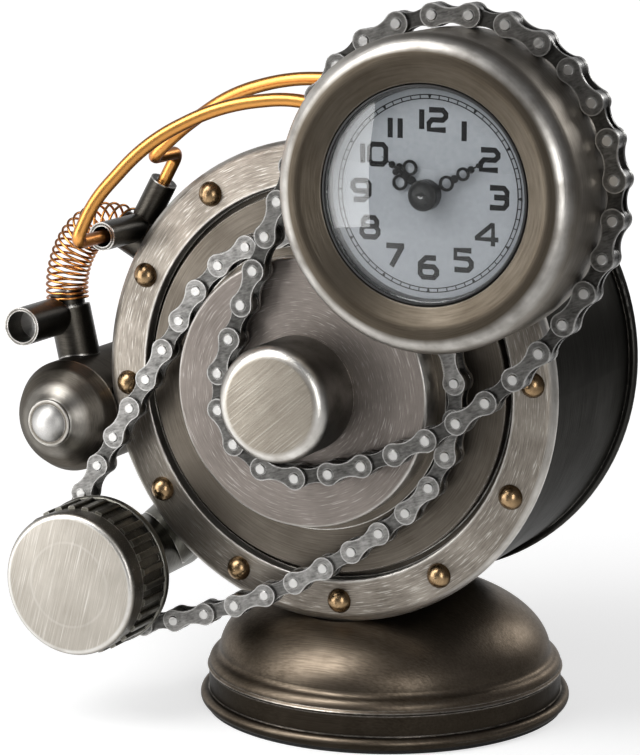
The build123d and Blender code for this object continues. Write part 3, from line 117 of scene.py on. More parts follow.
def ramp(tree, value, low, high, start=0.0, end=1.0):
    """A clamped Map Range from low..high to start..end."""
    node = add(tree, "ShaderNodeMapRange", clamp=True)
    join(tree, value, node.inputs["Value"])
    for name, number in (("From Min", low), ("From Max", high), ("To Min", start), ("To Max", end)):
        node.inputs[name].default_value = number
    return node.outputs["Result"]


def new_material(name):
    """A material with nodes; returns it, its node tree and its Principled shader."""
    material = bpy.data.materials.new(name)
    material.use_nodes = True
    return material, material.node_tree, material.node_tree.nodes["Principled BSDF"]


print("node helpers ready")

# %% [markdown]
# Metal shows its surroundings more than its own colour, so the studio matters as much as the
# finishes do. The camera sees a plain white backdrop all round. Reflections see it only behind the
# clock. Overhead, at the right and behind the camera they meet a dark room, as if black cards stood
# there, and that draws the dark sides of the metal. What lights matt surfaces is dimmer than the
# backdrop, so that the dial doesn't burn out.

# %% World
studio_white = (1, 1, 1)
studio_dark = (0.12, 0.12, 0.125)
ambient_grey = (0.12, 0.12, 0.123)
world = bpy.data.worlds.new("studio")
bpy.context.scene.world = world
bpy.context.scene.view_settings.view_transform = "Standard"
world.use_nodes = True
sky = world.node_tree
sky.nodes.clear()


def seen_rays(tree):
    """One for rays that show the backdrop: to the camera, in a reflection or through the glass."""
    rays = add(tree, "ShaderNodeLightPath")
    seen = sums(tree, "MAXIMUM", rays.outputs["Is Camera Ray"], rays.outputs["Is Glossy Ray"])
    return sums(tree, "MAXIMUM", seen, rays.outputs["Is Transmission Ray"])


def off_camera(tree):
    """Zero for what the camera itself sees, and one for every other ray."""
    rays = add(tree, "ShaderNodeLightPath")
    return sums(tree, "SUBTRACT", 1.0, rays.outputs["Is Camera Ray"])


direction = add(sky, "ShaderNodeTexCoord")
heading = add(sky, "ShaderNodeSeparateXYZ")
join(sky, direction.outputs["Generated"], heading.inputs[0])
overhead = ramp(sky, heading.outputs["Z"], 0.25, 0.6)
at_right = ramp(sky, heading.outputs["X"], 0.0, 0.4)
at_right = sums(sky, "MULTIPLY", at_right, ramp(sky, heading.outputs["Z"], 0.2, 0.05))
at_right = sums(sky, "MAXIMUM", at_right, ramp(sky, heading.outputs["X"], 0.45, 0.65))
in_front = ramp(sky, heading.outputs["Y"], 0.2, -0.4)
shaded = sums(sky, "MAXIMUM", overhead, sums(sky, "MAXIMUM", at_right, in_front))
shaded = sums(sky, "MULTIPLY", shaded, off_camera(sky))
backdrop = add(sky, "ShaderNodeBackground")
join(sky, blend_colour(sky, shaded, studio_white, studio_dark), backdrop.inputs["Color"])
ambient = add(sky, "ShaderNodeBackground")
feed(sky, ambient.inputs["Color"], ambient_grey)
choose = add(sky, "ShaderNodeMixShader")
join(sky, seen_rays(sky), choose.inputs[0])
join(sky, ambient.outputs[0], choose.inputs[1])
join(sky, backdrop.outputs[0], choose.inputs[2])
world_out = add(sky, "ShaderNodeOutputWorld")
join(sky, choose.outputs[0], world_out.inputs[0])
print("world nodes", len(sky.nodes))

# %% [markdown]
# A tall soft panel stands close by at the left. It brightens everything on that side, and its
# reflection lies as a pale veil over the left of the lens. Another hangs overhead for the foot's
# dome and the top edges. A narrow one at the right draws the bright line down the head's rolled
# rim, and a small one behind brightens the upper right of the round head.

# %% Lamps
lamps = (
    ("panel_left", (-0.50, -0.52, 0.29), (0.40, 0.62), 2.5),
    ("panel_overhead", (-0.34, -0.56, 0.80), (0.5, 0.5), 4.6),
    ("panel_right", (0.53, -0.70, 0.26), (0.18, 0.50), 1.6),
    ("panel_behind", (0.43, 0.85, 0.55), (0.30, 0.25), 1.2),
)
lamp_target = Vector((0, -0.04, 0.15))
for lamp_name, place, size, power in lamps:
    bpy.ops.object.light_add(type="AREA", location=place)
    lamp = bpy.context.object
    lamp.name = lamp_name
    lamp.data.shape = "RECTANGLE"
    lamp.data.size, lamp.data.size_y = size
    lamp.data.energy = power
    aim = Vector(place) - lamp_target
    lamp.rotation_euler = aim.to_track_quat("Z", "Y").to_euler()
print("lamps", [lamp[0] for lamp in lamps])

# %% [markdown]
# The floor is white paper. It is lit like everything else, so the clock's soft shadow lies on it,
# and it glows for rays that show it, more with distance, so that it ends in plain white. In what
# the metal and the lens reflect, the glow fades in front and at the right, because the room is
# dark there.

# %% Floor
floor_size = 12
paper_grey = (0.55, 0.55, 0.55)
glow_near, glow_far = 0.66, 1.0
dim_share = 0.9
bpy.ops.mesh.primitive_plane_add(size=floor_size, location=(0, 0, 0))
floor = bpy.context.object
floor.name = "floor"
paper, sheet, paper_shader = new_material("floor_paper")
feed(sheet, paper_shader.inputs["Base Color"], paper_grey)
paper_shader.inputs["Roughness"].default_value = 1.0
paper_shader.inputs["Specular IOR Level"].default_value = 0.0
floor_place = add(sheet, "ShaderNodeTexCoord")
away = add(sheet, "ShaderNodeVectorMath", operation="LENGTH")
join(sheet, floor_place.outputs["Object"], away.inputs[0])
glow = ramp(sheet, away.outputs["Value"], 0.1, 0.8, glow_near, glow_far)
spot = add(sheet, "ShaderNodeSeparateXYZ")
join(sheet, floor_place.outputs["Object"], spot.inputs[0])
front_right = sums(sheet, "SUBTRACT", spot.outputs["X"], spot.outputs["Y"])
dim_front = ramp(sheet, front_right, 0.05, 0.38, 0.0, dim_share)
dim_right = ramp(sheet, spot.outputs["X"], 0.14, 0.32, 0.0, dim_share)
dim = sums(sheet, "MULTIPLY", sums(sheet, "MAXIMUM", dim_front, dim_right), off_camera(sheet))
glow = sums(sheet, "MULTIPLY", glow, sums(sheet, "SUBTRACT", 1.0, dim))
glow = sums(sheet, "MULTIPLY", glow, seen_rays(sheet))
feed(sheet, paper_shader.inputs["Emission Color"], studio_white)
join(sheet, glow, paper_shader.inputs["Emission Strength"])
floor.data.materials.append(paper)
print("floor width", floor.dimensions.x)

# %% [markdown]
# Old metal is never one colour. Tool marks run round a spun or turned piece, strokes of a brush
# cross a flat one, dark patina lies in patches and in hollows, the sides that turn away get a
# painted shade, and hands rub the edges bright. Each of those is a node group, made once, so that
# every finish can use it.


# %% Group helper
def new_group(name, inputs, output):
    """A shader node group with named sockets; returns the tree and its input and output nodes."""
    tree = bpy.data.node_groups.new(name, "ShaderNodeTree")
    for socket_name, value in inputs:
        kind = "NodeSocketVector" if isinstance(value, tuple) else "NodeSocketFloat"
        socket = tree.interface.new_socket(name=socket_name, in_out="INPUT", socket_type=kind)
        socket.default_value = value
    tree.interface.new_socket(name=output, in_out="OUTPUT", socket_type="NodeSocketFloat")
    return tree, add(tree, "NodeGroupInput"), add(tree, "NodeGroupOutput")


least_radius = 1e-5


def from_centre(tree, centre):
    """The X, Y, Z offsets from a centre and the distance from the axis along Y through it."""
    where = add(tree, "ShaderNodeTexCoord")
    offset = add(tree, "ShaderNodeVectorMath", operation="SUBTRACT")
    join(tree, where.outputs["Object"], offset.inputs[0])
    join(tree, centre, offset.inputs[1])
    parts = add(tree, "ShaderNodeSeparateXYZ")
    join(tree, offset.outputs[0], parts.inputs[0])
    x, y, z = parts.outputs
    across = sums(tree, "MULTIPLY", x, x)
    radius = sums(tree, "SQRT", sums(tree, "MULTIPLY_ADD", z, z, across))
    return x, y, z, sums(tree, "MAXIMUM", radius, least_radius)


def noise(tree, vector, scale, detail=4, rough=0.5):
    """A Noise texture's value on a vector."""
    node = add(tree, "ShaderNodeTexNoise")
    join(tree, vector, node.inputs["Vector"])
    feed(tree, node.inputs["Scale"], scale)
    node.inputs["Detail"].default_value = detail
    node.inputs["Roughness"].default_value = rough
    return node.outputs["Fac"]


print("group helpers ready")

# %% [markdown]
# Rubbed edges: the Bevel node gives the normal that a rounded edge would have, and where it
# differs from the real one there is an edge. Hollows: ambient occlusion says how shut in each
# point is.

# %% Edges and hollows
rubbed_edge, given, result = new_group(
    "rubbed_edge", [("Width", 0.0008), ("Breaks", 300.0)], "Mask"
)
rounded = add(rubbed_edge, "ShaderNodeBevel", samples=6)
join(rubbed_edge, given.outputs["Width"], rounded.inputs["Radius"])
surface = add(rubbed_edge, "ShaderNodeNewGeometry")
compare = add(rubbed_edge, "ShaderNodeVectorMath", operation="DOT_PRODUCT")
join(rubbed_edge, rounded.outputs[0], compare.inputs[0])
join(rubbed_edge, surface.outputs["Normal"], compare.inputs[1])
bent = sums(rubbed_edge, "SUBTRACT", 1.0, compare.outputs["Value"])
where = add(rubbed_edge, "ShaderNodeTexCoord")
breaks = noise(rubbed_edge, where.outputs["Object"], given.outputs["Breaks"], 3)
kept = ramp(rubbed_edge, breaks, 0.3, 0.55, 0.4, 1.0)
worn = sums(rubbed_edge, "MULTIPLY", ramp(rubbed_edge, bent, 0.01, 0.12), kept)
join(rubbed_edge, worn, result.inputs["Mask"])

hollow_grime, given, result = new_group("hollow_grime", [("Reach", 0.004)], "Mask")
shelter = add(hollow_grime, "ShaderNodeAmbientOcclusion", samples=8, only_local=True)
join(hollow_grime, given.outputs["Reach"], shelter.inputs["Distance"])
shut_in = ramp(hollow_grime, shelter.outputs["AO"], 0.45, 0.95, 1.0, 0.0)
join(hollow_grime, shut_in, result.inputs["Mask"])
print("groups", rubbed_edge.name, "and", hollow_grime.name)

# %% [markdown]
# Sides and bands: the faces that point one way, forward on the drum or up on the foot, keep their
# tones, while the others get the dark tone, a painted shade on the sides that turn away. A band is
# a bright ring at one distance from an axis, such as the crest of a rolled rim.

# %% Sides and bands
painted_side_shade, given, result = new_group(
    "painted_side_shade", [("Toward", (0, -1, 0)), ("Start", 0.45), ("End", 0.85)], "Mask"
)
surface = add(painted_side_shade, "ShaderNodeNewGeometry")
facing = add(painted_side_shade, "ShaderNodeVectorMath", operation="DOT_PRODUCT")
join(painted_side_shade, surface.outputs["Normal"], facing.inputs[0])
join(painted_side_shade, given.outputs["Toward"], facing.inputs[1])
side_shade = add(painted_side_shade, "ShaderNodeMapRange", clamp=True)
join(painted_side_shade, facing.outputs["Value"], side_shade.inputs["Value"])
join(painted_side_shade, given.outputs["Start"], side_shade.inputs["From Min"])
join(painted_side_shade, given.outputs["End"], side_shade.inputs["From Max"])
side_shade.inputs["To Min"].default_value = 1
side_shade.inputs["To Max"].default_value = 0
join(painted_side_shade, side_shade.outputs["Result"], result.inputs["Mask"])

rubbed_band, given, result = new_group(
    "rubbed_band", [("Centre", (0, 0, 0)), ("Radius", 0.05), ("Width", 0.002)], "Mask"
)
*_, radius = from_centre(rubbed_band, given.outputs["Centre"])
apart = sums(rubbed_band, "SUBTRACT", radius, given.outputs["Radius"])
apart = sums(rubbed_band, "ABSOLUTE", apart)
apart = sums(rubbed_band, "DIVIDE", apart, given.outputs["Width"])
near = sums(rubbed_band, "SUBTRACT", 1.0, apart)
where = add(rubbed_band, "ShaderNodeTexCoord")
kept = ramp(rubbed_band, noise(rubbed_band, where.outputs["Object"], 120.0), 0.25, 0.6, 0.35, 1.0)
band = sums(rubbed_band, "MULTIPLY", ramp(rubbed_band, near, 0.0, 0.7), kept)
join(rubbed_band, band, result.inputs["Mask"])
print("groups", painted_side_shade.name, "and", rubbed_band.name)

# %% [markdown]
# Pin ends: on a chain the pins stand a little proud of the plates, and whatever brushes against
# the chain polishes them first. They are the part that is farthest from the chain's middle plane.

# %% Pin ends
pin_ends, given, result = new_group("pin_ends", [("Middle", 0.0), ("Plates", 0.004)], "Mask")
where = add(pin_ends, "ShaderNodeTexCoord")
parts = add(pin_ends, "ShaderNodeSeparateXYZ")
join(pin_ends, where.outputs["Object"], parts.inputs[0])
apart = sums(pin_ends, "SUBTRACT", parts.outputs["Y"], given.outputs["Middle"])
apart = sums(pin_ends, "ABSOLUTE", apart)
proud = sums(pin_ends, "GREATER_THAN", apart, given.outputs["Plates"])
join(pin_ends, proud, result.inputs["Mask"])
print("group", pin_ends.name)

# %% [markdown]
# Grain: noise stretched round an axis gives the lines that a lathe leaves, and noise stretched
# along one direction gives strokes of a wire brush. Patches are plain noise, for uneven patina.

# %% Grain and patches
turned_lines, given, result = new_group(
    "turned_lines", [("Centre", (0, 0, 0)), ("Fineness", 2500.0), ("Breaks", 5.0)], "Lines"
)
x, y, z, radius = from_centre(turned_lines, given.outputs["Centre"])
spot = add(turned_lines, "ShaderNodeCombineXYZ")
for index, part in enumerate((x, z)):
    around = sums(turned_lines, "DIVIDE", part, radius)
    around = sums(turned_lines, "MULTIPLY", around, given.outputs["Breaks"])
    join(turned_lines, around, spot.inputs[index])
along = sums(turned_lines, "ADD", radius, y)
along = sums(turned_lines, "MULTIPLY", along, given.outputs["Fineness"])
join(turned_lines, along, spot.inputs[2])
lines = ramp(turned_lines, noise(turned_lines, spot.outputs[0], 1.0), 0.3, 0.7)
join(turned_lines, lines, result.inputs["Lines"])

brush_strokes, given, result = new_group(
    "brush_strokes", [("Turn", (0, 0, 0)), ("Fineness", 2500.0), ("Length", 60.0)], "Lines"
)
where = add(brush_strokes, "ShaderNodeTexCoord")
turned = add(brush_strokes, "ShaderNodeVectorRotate", rotation_type="EULER_XYZ")
join(brush_strokes, where.outputs["Object"], turned.inputs["Vector"])
join(brush_strokes, given.outputs["Turn"], turned.inputs["Rotation"])
parts = add(brush_strokes, "ShaderNodeSeparateXYZ")
join(brush_strokes, turned.outputs[0], parts.inputs[0])
spot = add(brush_strokes, "ShaderNodeCombineXYZ")
for index, factor in enumerate(("Length", "Fineness", "Fineness")):
    stretched = sums(brush_strokes, "MULTIPLY", parts.outputs[index], given.outputs[factor])
    join(brush_strokes, stretched, spot.inputs[index])
lines = ramp(brush_strokes, noise(brush_strokes, spot.outputs[0], 1.0), 0.3, 0.7)
join(brush_strokes, lines, result.inputs["Lines"])

patina_patches, given, result = new_group("patina_patches", [("Scale", 40.0)], "Patches")
where = add(patina_patches, "ShaderNodeTexCoord")
clouds = noise(patina_patches, where.outputs["Object"], given.outputs["Scale"], 5, 0.6)
join(patina_patches, ramp(patina_patches, clouds, 0.32, 0.68), result.inputs["Patches"])
print("groups", turned_lines.name, brush_strokes.name, "and", patina_patches.name)

# %% [markdown]
# Crown: a sheet that was spun or pressed is never quite flat. A little slope away from the axis
# makes the light fall off round the riveted ring. As a bump it changes only how light falls.

# %% Crown
sheet_crown, given, result = new_group(
    "sheet_crown", [("Centre", (0, 0, 0)), ("Slope", 0.0), ("Dome", 0.0)], "Height"
)
*_, radius = from_centre(sheet_crown, given.outputs["Centre"])
dome = sums(sheet_crown, "MULTIPLY", radius, radius)
dome = sums(sheet_crown, "MULTIPLY", dome, given.outputs["Dome"])
fall = sums(sheet_crown, "MULTIPLY_ADD", radius, given.outputs["Slope"], dome)
join(sheet_crown, sums(sheet_crown, "MULTIPLY", fall, -1.0), result.inputs["Height"])
print("node groups", [tree.name for tree in bpy.data.node_groups])


# %% [markdown]
# The axes that grain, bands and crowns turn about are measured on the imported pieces.


# %% Axes
def axis_of(node):
    """The middle of a node's box in X and Z: the place of its axis along Y."""
    low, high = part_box(node)
    return ((low.x + high.x) / 2, 0.0, (low.z + high.z) / 2)


drum_axis = axis_of("front_flange")
head_axis = axis_of("head_can")
knob_axis = axis_of("idler_face")
bell_axis = axis_of("bell_boss")
pin_end_depth = 0.0002


def chain_middle(node):
    """A chain's middle plane in Y, and how far from it the pins stand clear of the plates."""
    low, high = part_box(node)
    return {"Middle": (low.y + high.y) / 2, "Plates": (high.y - low.y) / 2 - pin_end_depth}


print("drum axis", [round(v, 4) for v in drum_axis], "head axis", [round(v, 4) for v in head_axis])

# %% [markdown]
# Four more helpers come before the finishes. One puts a group in a material, two describe a grain,
# as rings round an axis or as strokes at an angle, and one turns heights into a bump.


# %% Finish helpers
def place_group(tree, group, values):
    """Put a node group in a material, set its inputs and return its output."""
    node = add(tree, "ShaderNodeGroup")
    node.node_tree = group
    for name, value in values.items():
        node.inputs[name].default_value = value
    return node.outputs[0]


def rings(centre, fineness=2500.0, breaks=5.0):
    """Grain that runs round an axis along Y."""
    return turned_lines, {"Centre": centre, "Fineness": fineness, "Breaks": breaks}


def strokes(degrees, fineness=2500.0, length=60.0):
    """Straight grain, turned about Y."""
    turn = (0, math.radians(degrees), 0)
    return brush_strokes, {"Turn": turn, "Fineness": fineness, "Length": length}


def bump(tree, height, strength, distance, normal=None):
    """A Bump node's normal."""
    node = add(tree, "ShaderNodeBump")
    node.inputs["Strength"].default_value = strength
    node.inputs["Distance"].default_value = distance
    join(tree, height, node.inputs["Height"])
    if normal is not None:
        join(tree, normal, node.inputs["Normal"])
    return node.outputs["Normal"]


finishes = {}
print("finish helpers ready")

# %% [markdown]
# One function mixes the groups into an antique metal. It takes two tones for the body, a bright
# one for rubbed edges and a dark one for patina in hollows and for painted shade on the sides that
# turn away, and the grain: rings round an axis, or strokes at an angle. Scratches are the brightest
# lines of the grain. Metal that is seen edge-on shines white, and a glance below one dulls that on
# dark pieces. A finish differs from the next by its numbers, as one polish does from another.

# %% Antique metal
grime_strength = 0.92
rub_polish = 0.1
hairline_start = 0.75
grain_depth = 0.0002
# forward and upward point to the faces that keep their tones; faces turned away from them get
# painted shade.
forward = {"Toward": (0, -1, 0), "Start": 0.45, "End": 0.85}
upward = {"Toward": (0, 0, 1), "Start": 0.02, "End": 0.4}


def antique_metal(
    name,
    tones,
    rubbed,
    dark,
    rough,
    grain,
    edge=0.0008,
    side_shade=0.0,
    toward=forward,
    bands=(),
    crown=None,
    relief=0.15,
    patch=45.0,
    reach=0.005,
    pins=None,
    glance=1.0,
    scratch=0.0,
):
    """A worn metal: two body tones, a rubbed and a dark tone, a roughness pair and a grain."""
    finishes[name], tree, shader = new_material(name)
    shader.inputs["Metallic"].default_value = 1.0
    shader.inputs["Specular Tint"].default_value = (glance, glance, glance, 1)
    lines = place_group(tree, *grain)
    patches = place_group(tree, patina_patches, {"Scale": patch})
    mixed = sums(tree, "MULTIPLY_ADD", lines, 0.5, sums(tree, "MULTIPLY", patches, 0.5))
    colour = blend_colour(tree, mixed, tones[0], tones[1])
    patina_and_shade = place_group(tree, hollow_grime, {"Reach": reach})
    # Painted shade: faces turned away from the direction in toward get the dark tone.
    if side_shade:
        turned_away_shade = sums(tree, "MULTIPLY", place_group(tree, painted_side_shade, toward), side_shade)
        patina_and_shade = sums(tree, "MAXIMUM", patina_and_shade, turned_away_shade)
    colour = blend_colour(tree, sums(tree, "MULTIPLY", patina_and_shade, grime_strength), colour, dark)
    bright = place_group(tree, rubbed_edge, {"Width": edge})
    for centre, radius, width, strength in bands:
        band = place_group(tree, rubbed_band, {"Centre": centre, "Radius": radius, "Width": width})
        bright = sums(tree, "MAXIMUM", bright, sums(tree, "MULTIPLY", band, strength))
    if scratch:
        hairlines = ramp(tree, lines, hairline_start, 1.0, 0.0, scratch)
        bright = sums(tree, "MAXIMUM", bright, hairlines)
    if pins:
        bright = sums(tree, "MAXIMUM", bright, place_group(tree, pin_ends, pins))
    join(tree, blend_colour(tree, bright, colour, rubbed), shader.inputs["Base Color"])
    dullness = ramp(tree, mixed, 0.0, 1.0, rough[1], rough[0])
    dullness = sums(tree, "MULTIPLY_ADD", bright, -rub_polish, dullness)
    join(tree, dullness, shader.inputs["Roughness"])
    normal = None
    if crown:
        normal = bump(tree, place_group(tree, sheet_crown, crown), 1.0, 1.0)
    join(tree, bump(tree, lines, relief, grain_depth, normal), shader.inputs["Normal"])


pewter_bright = (0.84, 0.815, 0.77)
pewter_dark = (0.016, 0.0145, 0.012)
print("antique metal ready")

# %% [markdown]
# Pewter is the grey of the riveted ring, the plate and the disc. They are lathe-turned, so their
# grain runs round the drum's axis. The ring is the lightest and the most scratched.

# %% Pewter on the drum
antique_metal(
    "flange_pewter",
    tones=((0.14, 0.120, 0.098), (0.48, 0.435, 0.378)),
    rubbed=pewter_bright,
    dark=pewter_dark,
    rough=(0.40, 0.54),
    grain=rings(drum_axis, 2600.0, 14.0),
    edge=0.0012,
    bands=((drum_axis, 0.0836, 0.0016, 0.7), (drum_axis, 0.0690, 0.0012, 0.7)),
    crown={"Centre": drum_axis, "Slope": 0.24},
    relief=0.22,
    scratch=0.5,
)
antique_metal(
    "plate_pewter",
    tones=((0.09, 0.076, 0.060), (0.195, 0.171, 0.142)),
    rubbed=pewter_bright,
    dark=pewter_dark,
    rough=(0.34, 0.46),
    grain=rings(drum_axis),
    crown={"Centre": drum_axis, "Slope": 0.06},
)
# The disc's round side gets the dark tone as painted shade.
antique_metal(
    "disc_pewter",
    tones=((0.165, 0.143, 0.127), (0.30, 0.265, 0.24)),
    rubbed=pewter_bright,
    dark=pewter_dark,
    rough=(0.36, 0.48),
    grain=rings(drum_axis, 2800.0, 6.0),
    edge=0.0012,
    side_shade=0.9,
    scratch=0.3,
    bands=((drum_axis, 0.0462, 0.0010, 0.8),),
)
print("pewter on the drum", list(finishes))

# %% [markdown]
# The head and the faces of both knobs are pewter too. The head was turned, and its face, which
# looks forward, gets the dark tone as painted shade. The knob faces are brushed across, each in
# its own direction, and their sides get painted shade.

# %% Pewter on the knobs and the head
antique_metal(
    "knob_pewter",
    tones=((0.24, 0.21, 0.172), (0.455, 0.41, 0.345)),
    rubbed=pewter_bright,
    dark=(0.004, 0.004, 0.003),
    rough=(0.34, 0.46),
    grain=strokes(40),
    edge=0.0012,
    side_shade=0.97,
    scratch=0.25,
    glance=0.45,
    bands=((drum_axis, 0.0180, 0.0024, 1.0),),
    crown={"Centre": drum_axis, "Dome": 2.0},
)
antique_metal(
    "head_pewter",
    tones=((0.13, 0.112, 0.09), (0.28, 0.248, 0.205)),
    rubbed=pewter_bright,
    dark=(0.040, 0.028, 0.015),
    rough=(0.36, 0.48),
    grain=rings(head_axis, 2500.0, 4.0),
    side_shade=0.72,
    toward={"Toward": (0, 1, 0), "Start": -0.93, "End": -0.6},
    bands=((head_axis, 0.0480, 0.0028, 0.7),),
)
antique_metal(
    "idler_pewter",
    tones=((0.36, 0.33, 0.285), (0.55, 0.512, 0.455)),
    rubbed=(0.80, 0.78, 0.74),
    dark=(0.13, 0.123, 0.108),
    rough=(0.34, 0.46),
    grain=strokes(75),
    edge=0.0012,
    side_shade=0.95,
    scratch=0.4,
    bands=((knob_axis, 0.0240, 0.0009, 0.9), (knob_axis, 0.0150, 0.0006, 0.16)),
    crown={"Centre": knob_axis, "Dome": 1.2},
)
print("pewter finishes", len(finishes))

# %% [markdown]
# Gunmetal and bronze are the darker half: the drum's side, the ribbed knob, the bell, the tubes
# and the foot. Only their edges, their rolled rims and the ring round the bell's boss are rubbed
# bright.

# %% Gunmetal and bronze
antique_metal(
    "gunmetal",
    tones=((0.032, 0.031, 0.028), (0.075, 0.073, 0.067)),
    rubbed=(0.45, 0.43, 0.40),
    dark=(0.012, 0.011, 0.009),
    rough=(0.30, 0.42),
    grain=rings(drum_axis, 1800.0, 4.0),
    glance=0.42,
)
antique_metal(
    "knob_gunmetal",
    tones=((0.09, 0.087, 0.075), (0.24, 0.232, 0.20)),
    rubbed=(0.45, 0.435, 0.40),
    dark=(0.03, 0.0285, 0.024),
    rough=(0.30, 0.42),
    grain=rings(knob_axis, 1800.0, 4.0),
    edge=0.0006,
    reach=0.0022,
)
antique_metal(
    "bell_gunmetal",
    tones=((0.08, 0.070, 0.058), (0.20, 0.18, 0.152)),
    rubbed=(0.55, 0.53, 0.49),
    dark=(0.010, 0.009, 0.007),
    rough=(0.34, 0.44),
    grain=rings(bell_axis, 2500.0, 4.0),
    bands=((bell_axis, 0.0082, 0.0010, 0.8), (bell_axis, 0.0108, 0.0034, 0.35)),
    glance=0.45,
)
antique_metal(
    "tube_gunmetal",
    tones=((0.035, 0.0315, 0.026), (0.09, 0.082, 0.07)),
    rubbed=(0.62, 0.60, 0.57),
    dark=(0.006, 0.005, 0.004),
    rough=(0.30, 0.42),
    grain=strokes(0),
    edge=0.0012,
)
# The foot's faces that don't look up get the dark tone as painted shade.
antique_metal(
    "foot_bronze",
    tones=((0.085, 0.066, 0.047), (0.225, 0.182, 0.138)),
    rubbed=(0.62, 0.575, 0.52),
    dark=(0.006, 0.0048, 0.003),
    rough=(0.32, 0.46),
    grain=strokes(0, 1800.0, 12.0),
    edge=0.0010,
    side_shade=0.93,
    toward=upward,
    patch=60.0,
    glance=0.6,
)
print("finishes so far", len(finishes))

# %% [markdown]
# Chain steel is mottled and oily, with bright rims on the plates and bright pin ends. The chain
# round the head is the darker one. The inner links and the rollers between the plates are darker.

# %% Chain steel
chain_rim = (0.66, 0.65, 0.63)
inner_rim = (0.55, 0.54, 0.52)
chain_oil = (0.009, 0.008, 0.007)
chain_grain = strokes(20, 1500.0, 400.0)
outer_tones = {
    "head_chain": ((0.040, 0.038, 0.035), (0.23, 0.224, 0.213)),
    "drum_chain": ((0.085, 0.082, 0.077), (0.42, 0.41, 0.393)),
}
inner_tones = {
    "head_chain": ((0.022, 0.021, 0.019), (0.12, 0.117, 0.111)),
    "drum_chain": ((0.045, 0.043, 0.040), (0.23, 0.225, 0.215)),
}
for chain_name in ("head_chain", "drum_chain"):
    antique_metal(
        chain_name,
        tones=outer_tones[chain_name],
        rubbed=chain_rim,
        dark=chain_oil,
        rough=(0.36, 0.50),
        grain=chain_grain,
        edge=0.0010,
        patch=350.0,
        reach=0.0015,
        pins=chain_middle(chain_name + "_outer_links"),
    )
    inner_name = chain_name + "_inner"
    antique_metal(
        inner_name,
        tones=inner_tones[chain_name],
        rubbed=inner_rim,
        dark=chain_oil,
        rough=(0.28, 0.44),
        grain=chain_grain,
        edge=0.0005,
        patch=350.0,
        reach=0.0015,
    )
antique_metal(
    "roller_steel",
    tones=((0.035, 0.034, 0.032), (0.11, 0.107, 0.102)),
    rubbed=(0.5, 0.49, 0.47),
    dark=(0.006, 0.0055, 0.005),
    rough=(0.28, 0.42),
    grain=strokes(20, 1500.0, 200.0),
    edge=0.0005,
    patch=300.0,
)
print("finishes so far", len(finishes))

# %% [markdown]
# The rivets are old brass, and their round heads get the dark tone as painted shade where they
# turn away from the front. The boss on the bell is satin steel with the same painted shade
# towards its rim.

# %% Rivets and boss
antique_metal(
    "rivet_brass",
    tones=((0.28, 0.178, 0.09), (0.54, 0.375, 0.21)),
    rubbed=(0.72, 0.55, 0.36),
    dark=(0.014, 0.009, 0.005),
    rough=(0.24, 0.30),
    grain=strokes(70, 1200.0, 300.0),
    edge=0.0002,
    side_shade=0.85,
    toward={"Toward": (0, -1, 0), "Start": 0.3, "End": 0.9},
    relief=0.05,
    patch=120.0,
    reach=0.0012,
)
antique_metal(
    "satin_steel",
    tones=((0.66, 0.645, 0.62), (0.84, 0.825, 0.80)),
    rubbed=(0.88, 0.87, 0.85),
    dark=(0.03, 0.028, 0.025),
    rough=(0.48, 0.56),
    grain=rings(bell_axis, 3000.0),
    edge=0.0004,
    relief=0.06,
)
antique_metal(
    "boss_steel",
    tones=((0.52, 0.505, 0.48), (0.78, 0.765, 0.74)),
    rubbed=(0.88, 0.87, 0.85),
    dark=(0.05, 0.046, 0.040),
    rough=(0.44, 0.54),
    grain=rings(bell_axis, 3000.0),
    edge=0.0004,
    side_shade=0.8,
    toward={"Toward": (0, -1, 0), "Start": 0.5, "End": 0.98},
    relief=0.06,
)
print("finishes so far", len(finishes))

# %% [markdown]
# The wires and the spring are lacquered copper. Their colour carries painted light: a painted
# highlight along the middle of a round wire and red-brown painted shade at both sides, whichever
# way it runs, following how far the surface turns away from the view.


# %% Copper
def drawn_copper(name, highlight_tone, shade_tone, rough):
    """Lacquered copper wire: a painted highlight along its middle and painted red-brown shade where
    its round side turns away from the view.
    """
    finishes[name], tree, shader = new_material(name)
    shader.inputs["Metallic"].default_value = 1.0
    edge_on_shade = add(tree, "ShaderNodeLayerWeight")
    edge_on_shade.inputs["Blend"].default_value = 0.35
    clouds = place_group(tree, patina_patches, {"Scale": 60.0})
    # Painted shade: the red-brown grows as the surface turns away from the view.
    amount = ramp(tree, edge_on_shade.outputs["Facing"], 0.05, 0.75)
    amount = sums(tree, "ADD", amount, ramp(tree, clouds, 0.0, 1.0, 0.0, 0.15))
    join(tree, blend_colour(tree, amount, highlight_tone, shade_tone), shader.inputs["Base Color"])
    join(tree, ramp(tree, clouds, 0.0, 1.0, rough[0], rough[1]), shader.inputs["Roughness"])


drawn_copper("wire_copper", (1.0, 0.48, 0.13), (0.30, 0.085, 0.015), (0.30, 0.38))
drawn_copper("spring_copper", (0.86, 0.39, 0.115), (0.30, 0.095, 0.020), (0.26, 0.34))
print("finishes so far", len(finishes))

# %% [markdown]
# Screws, bolt, stud, nut and foot plate are plain steel, and the wheels in the movement are brass.

# %% Fasteners and wheels
antique_metal(
    "plain_steel",
    tones=((0.24, 0.235, 0.228), (0.40, 0.392, 0.38)),
    rubbed=(0.7, 0.69, 0.68),
    dark=(0.04, 0.038, 0.036),
    rough=(0.3, 0.42),
    grain=strokes(0, 1500.0, 100.0),
)
antique_metal(
    "gear_brass",
    tones=((0.50, 0.36, 0.15), (0.70, 0.53, 0.25)),
    rubbed=(0.85, 0.71, 0.43),
    dark=(0.09, 0.055, 0.02),
    rough=(0.2, 0.32),
    grain=rings(head_axis, 3000.0),
    edge=0.0003,
)
print("metal finishes", len(finishes))

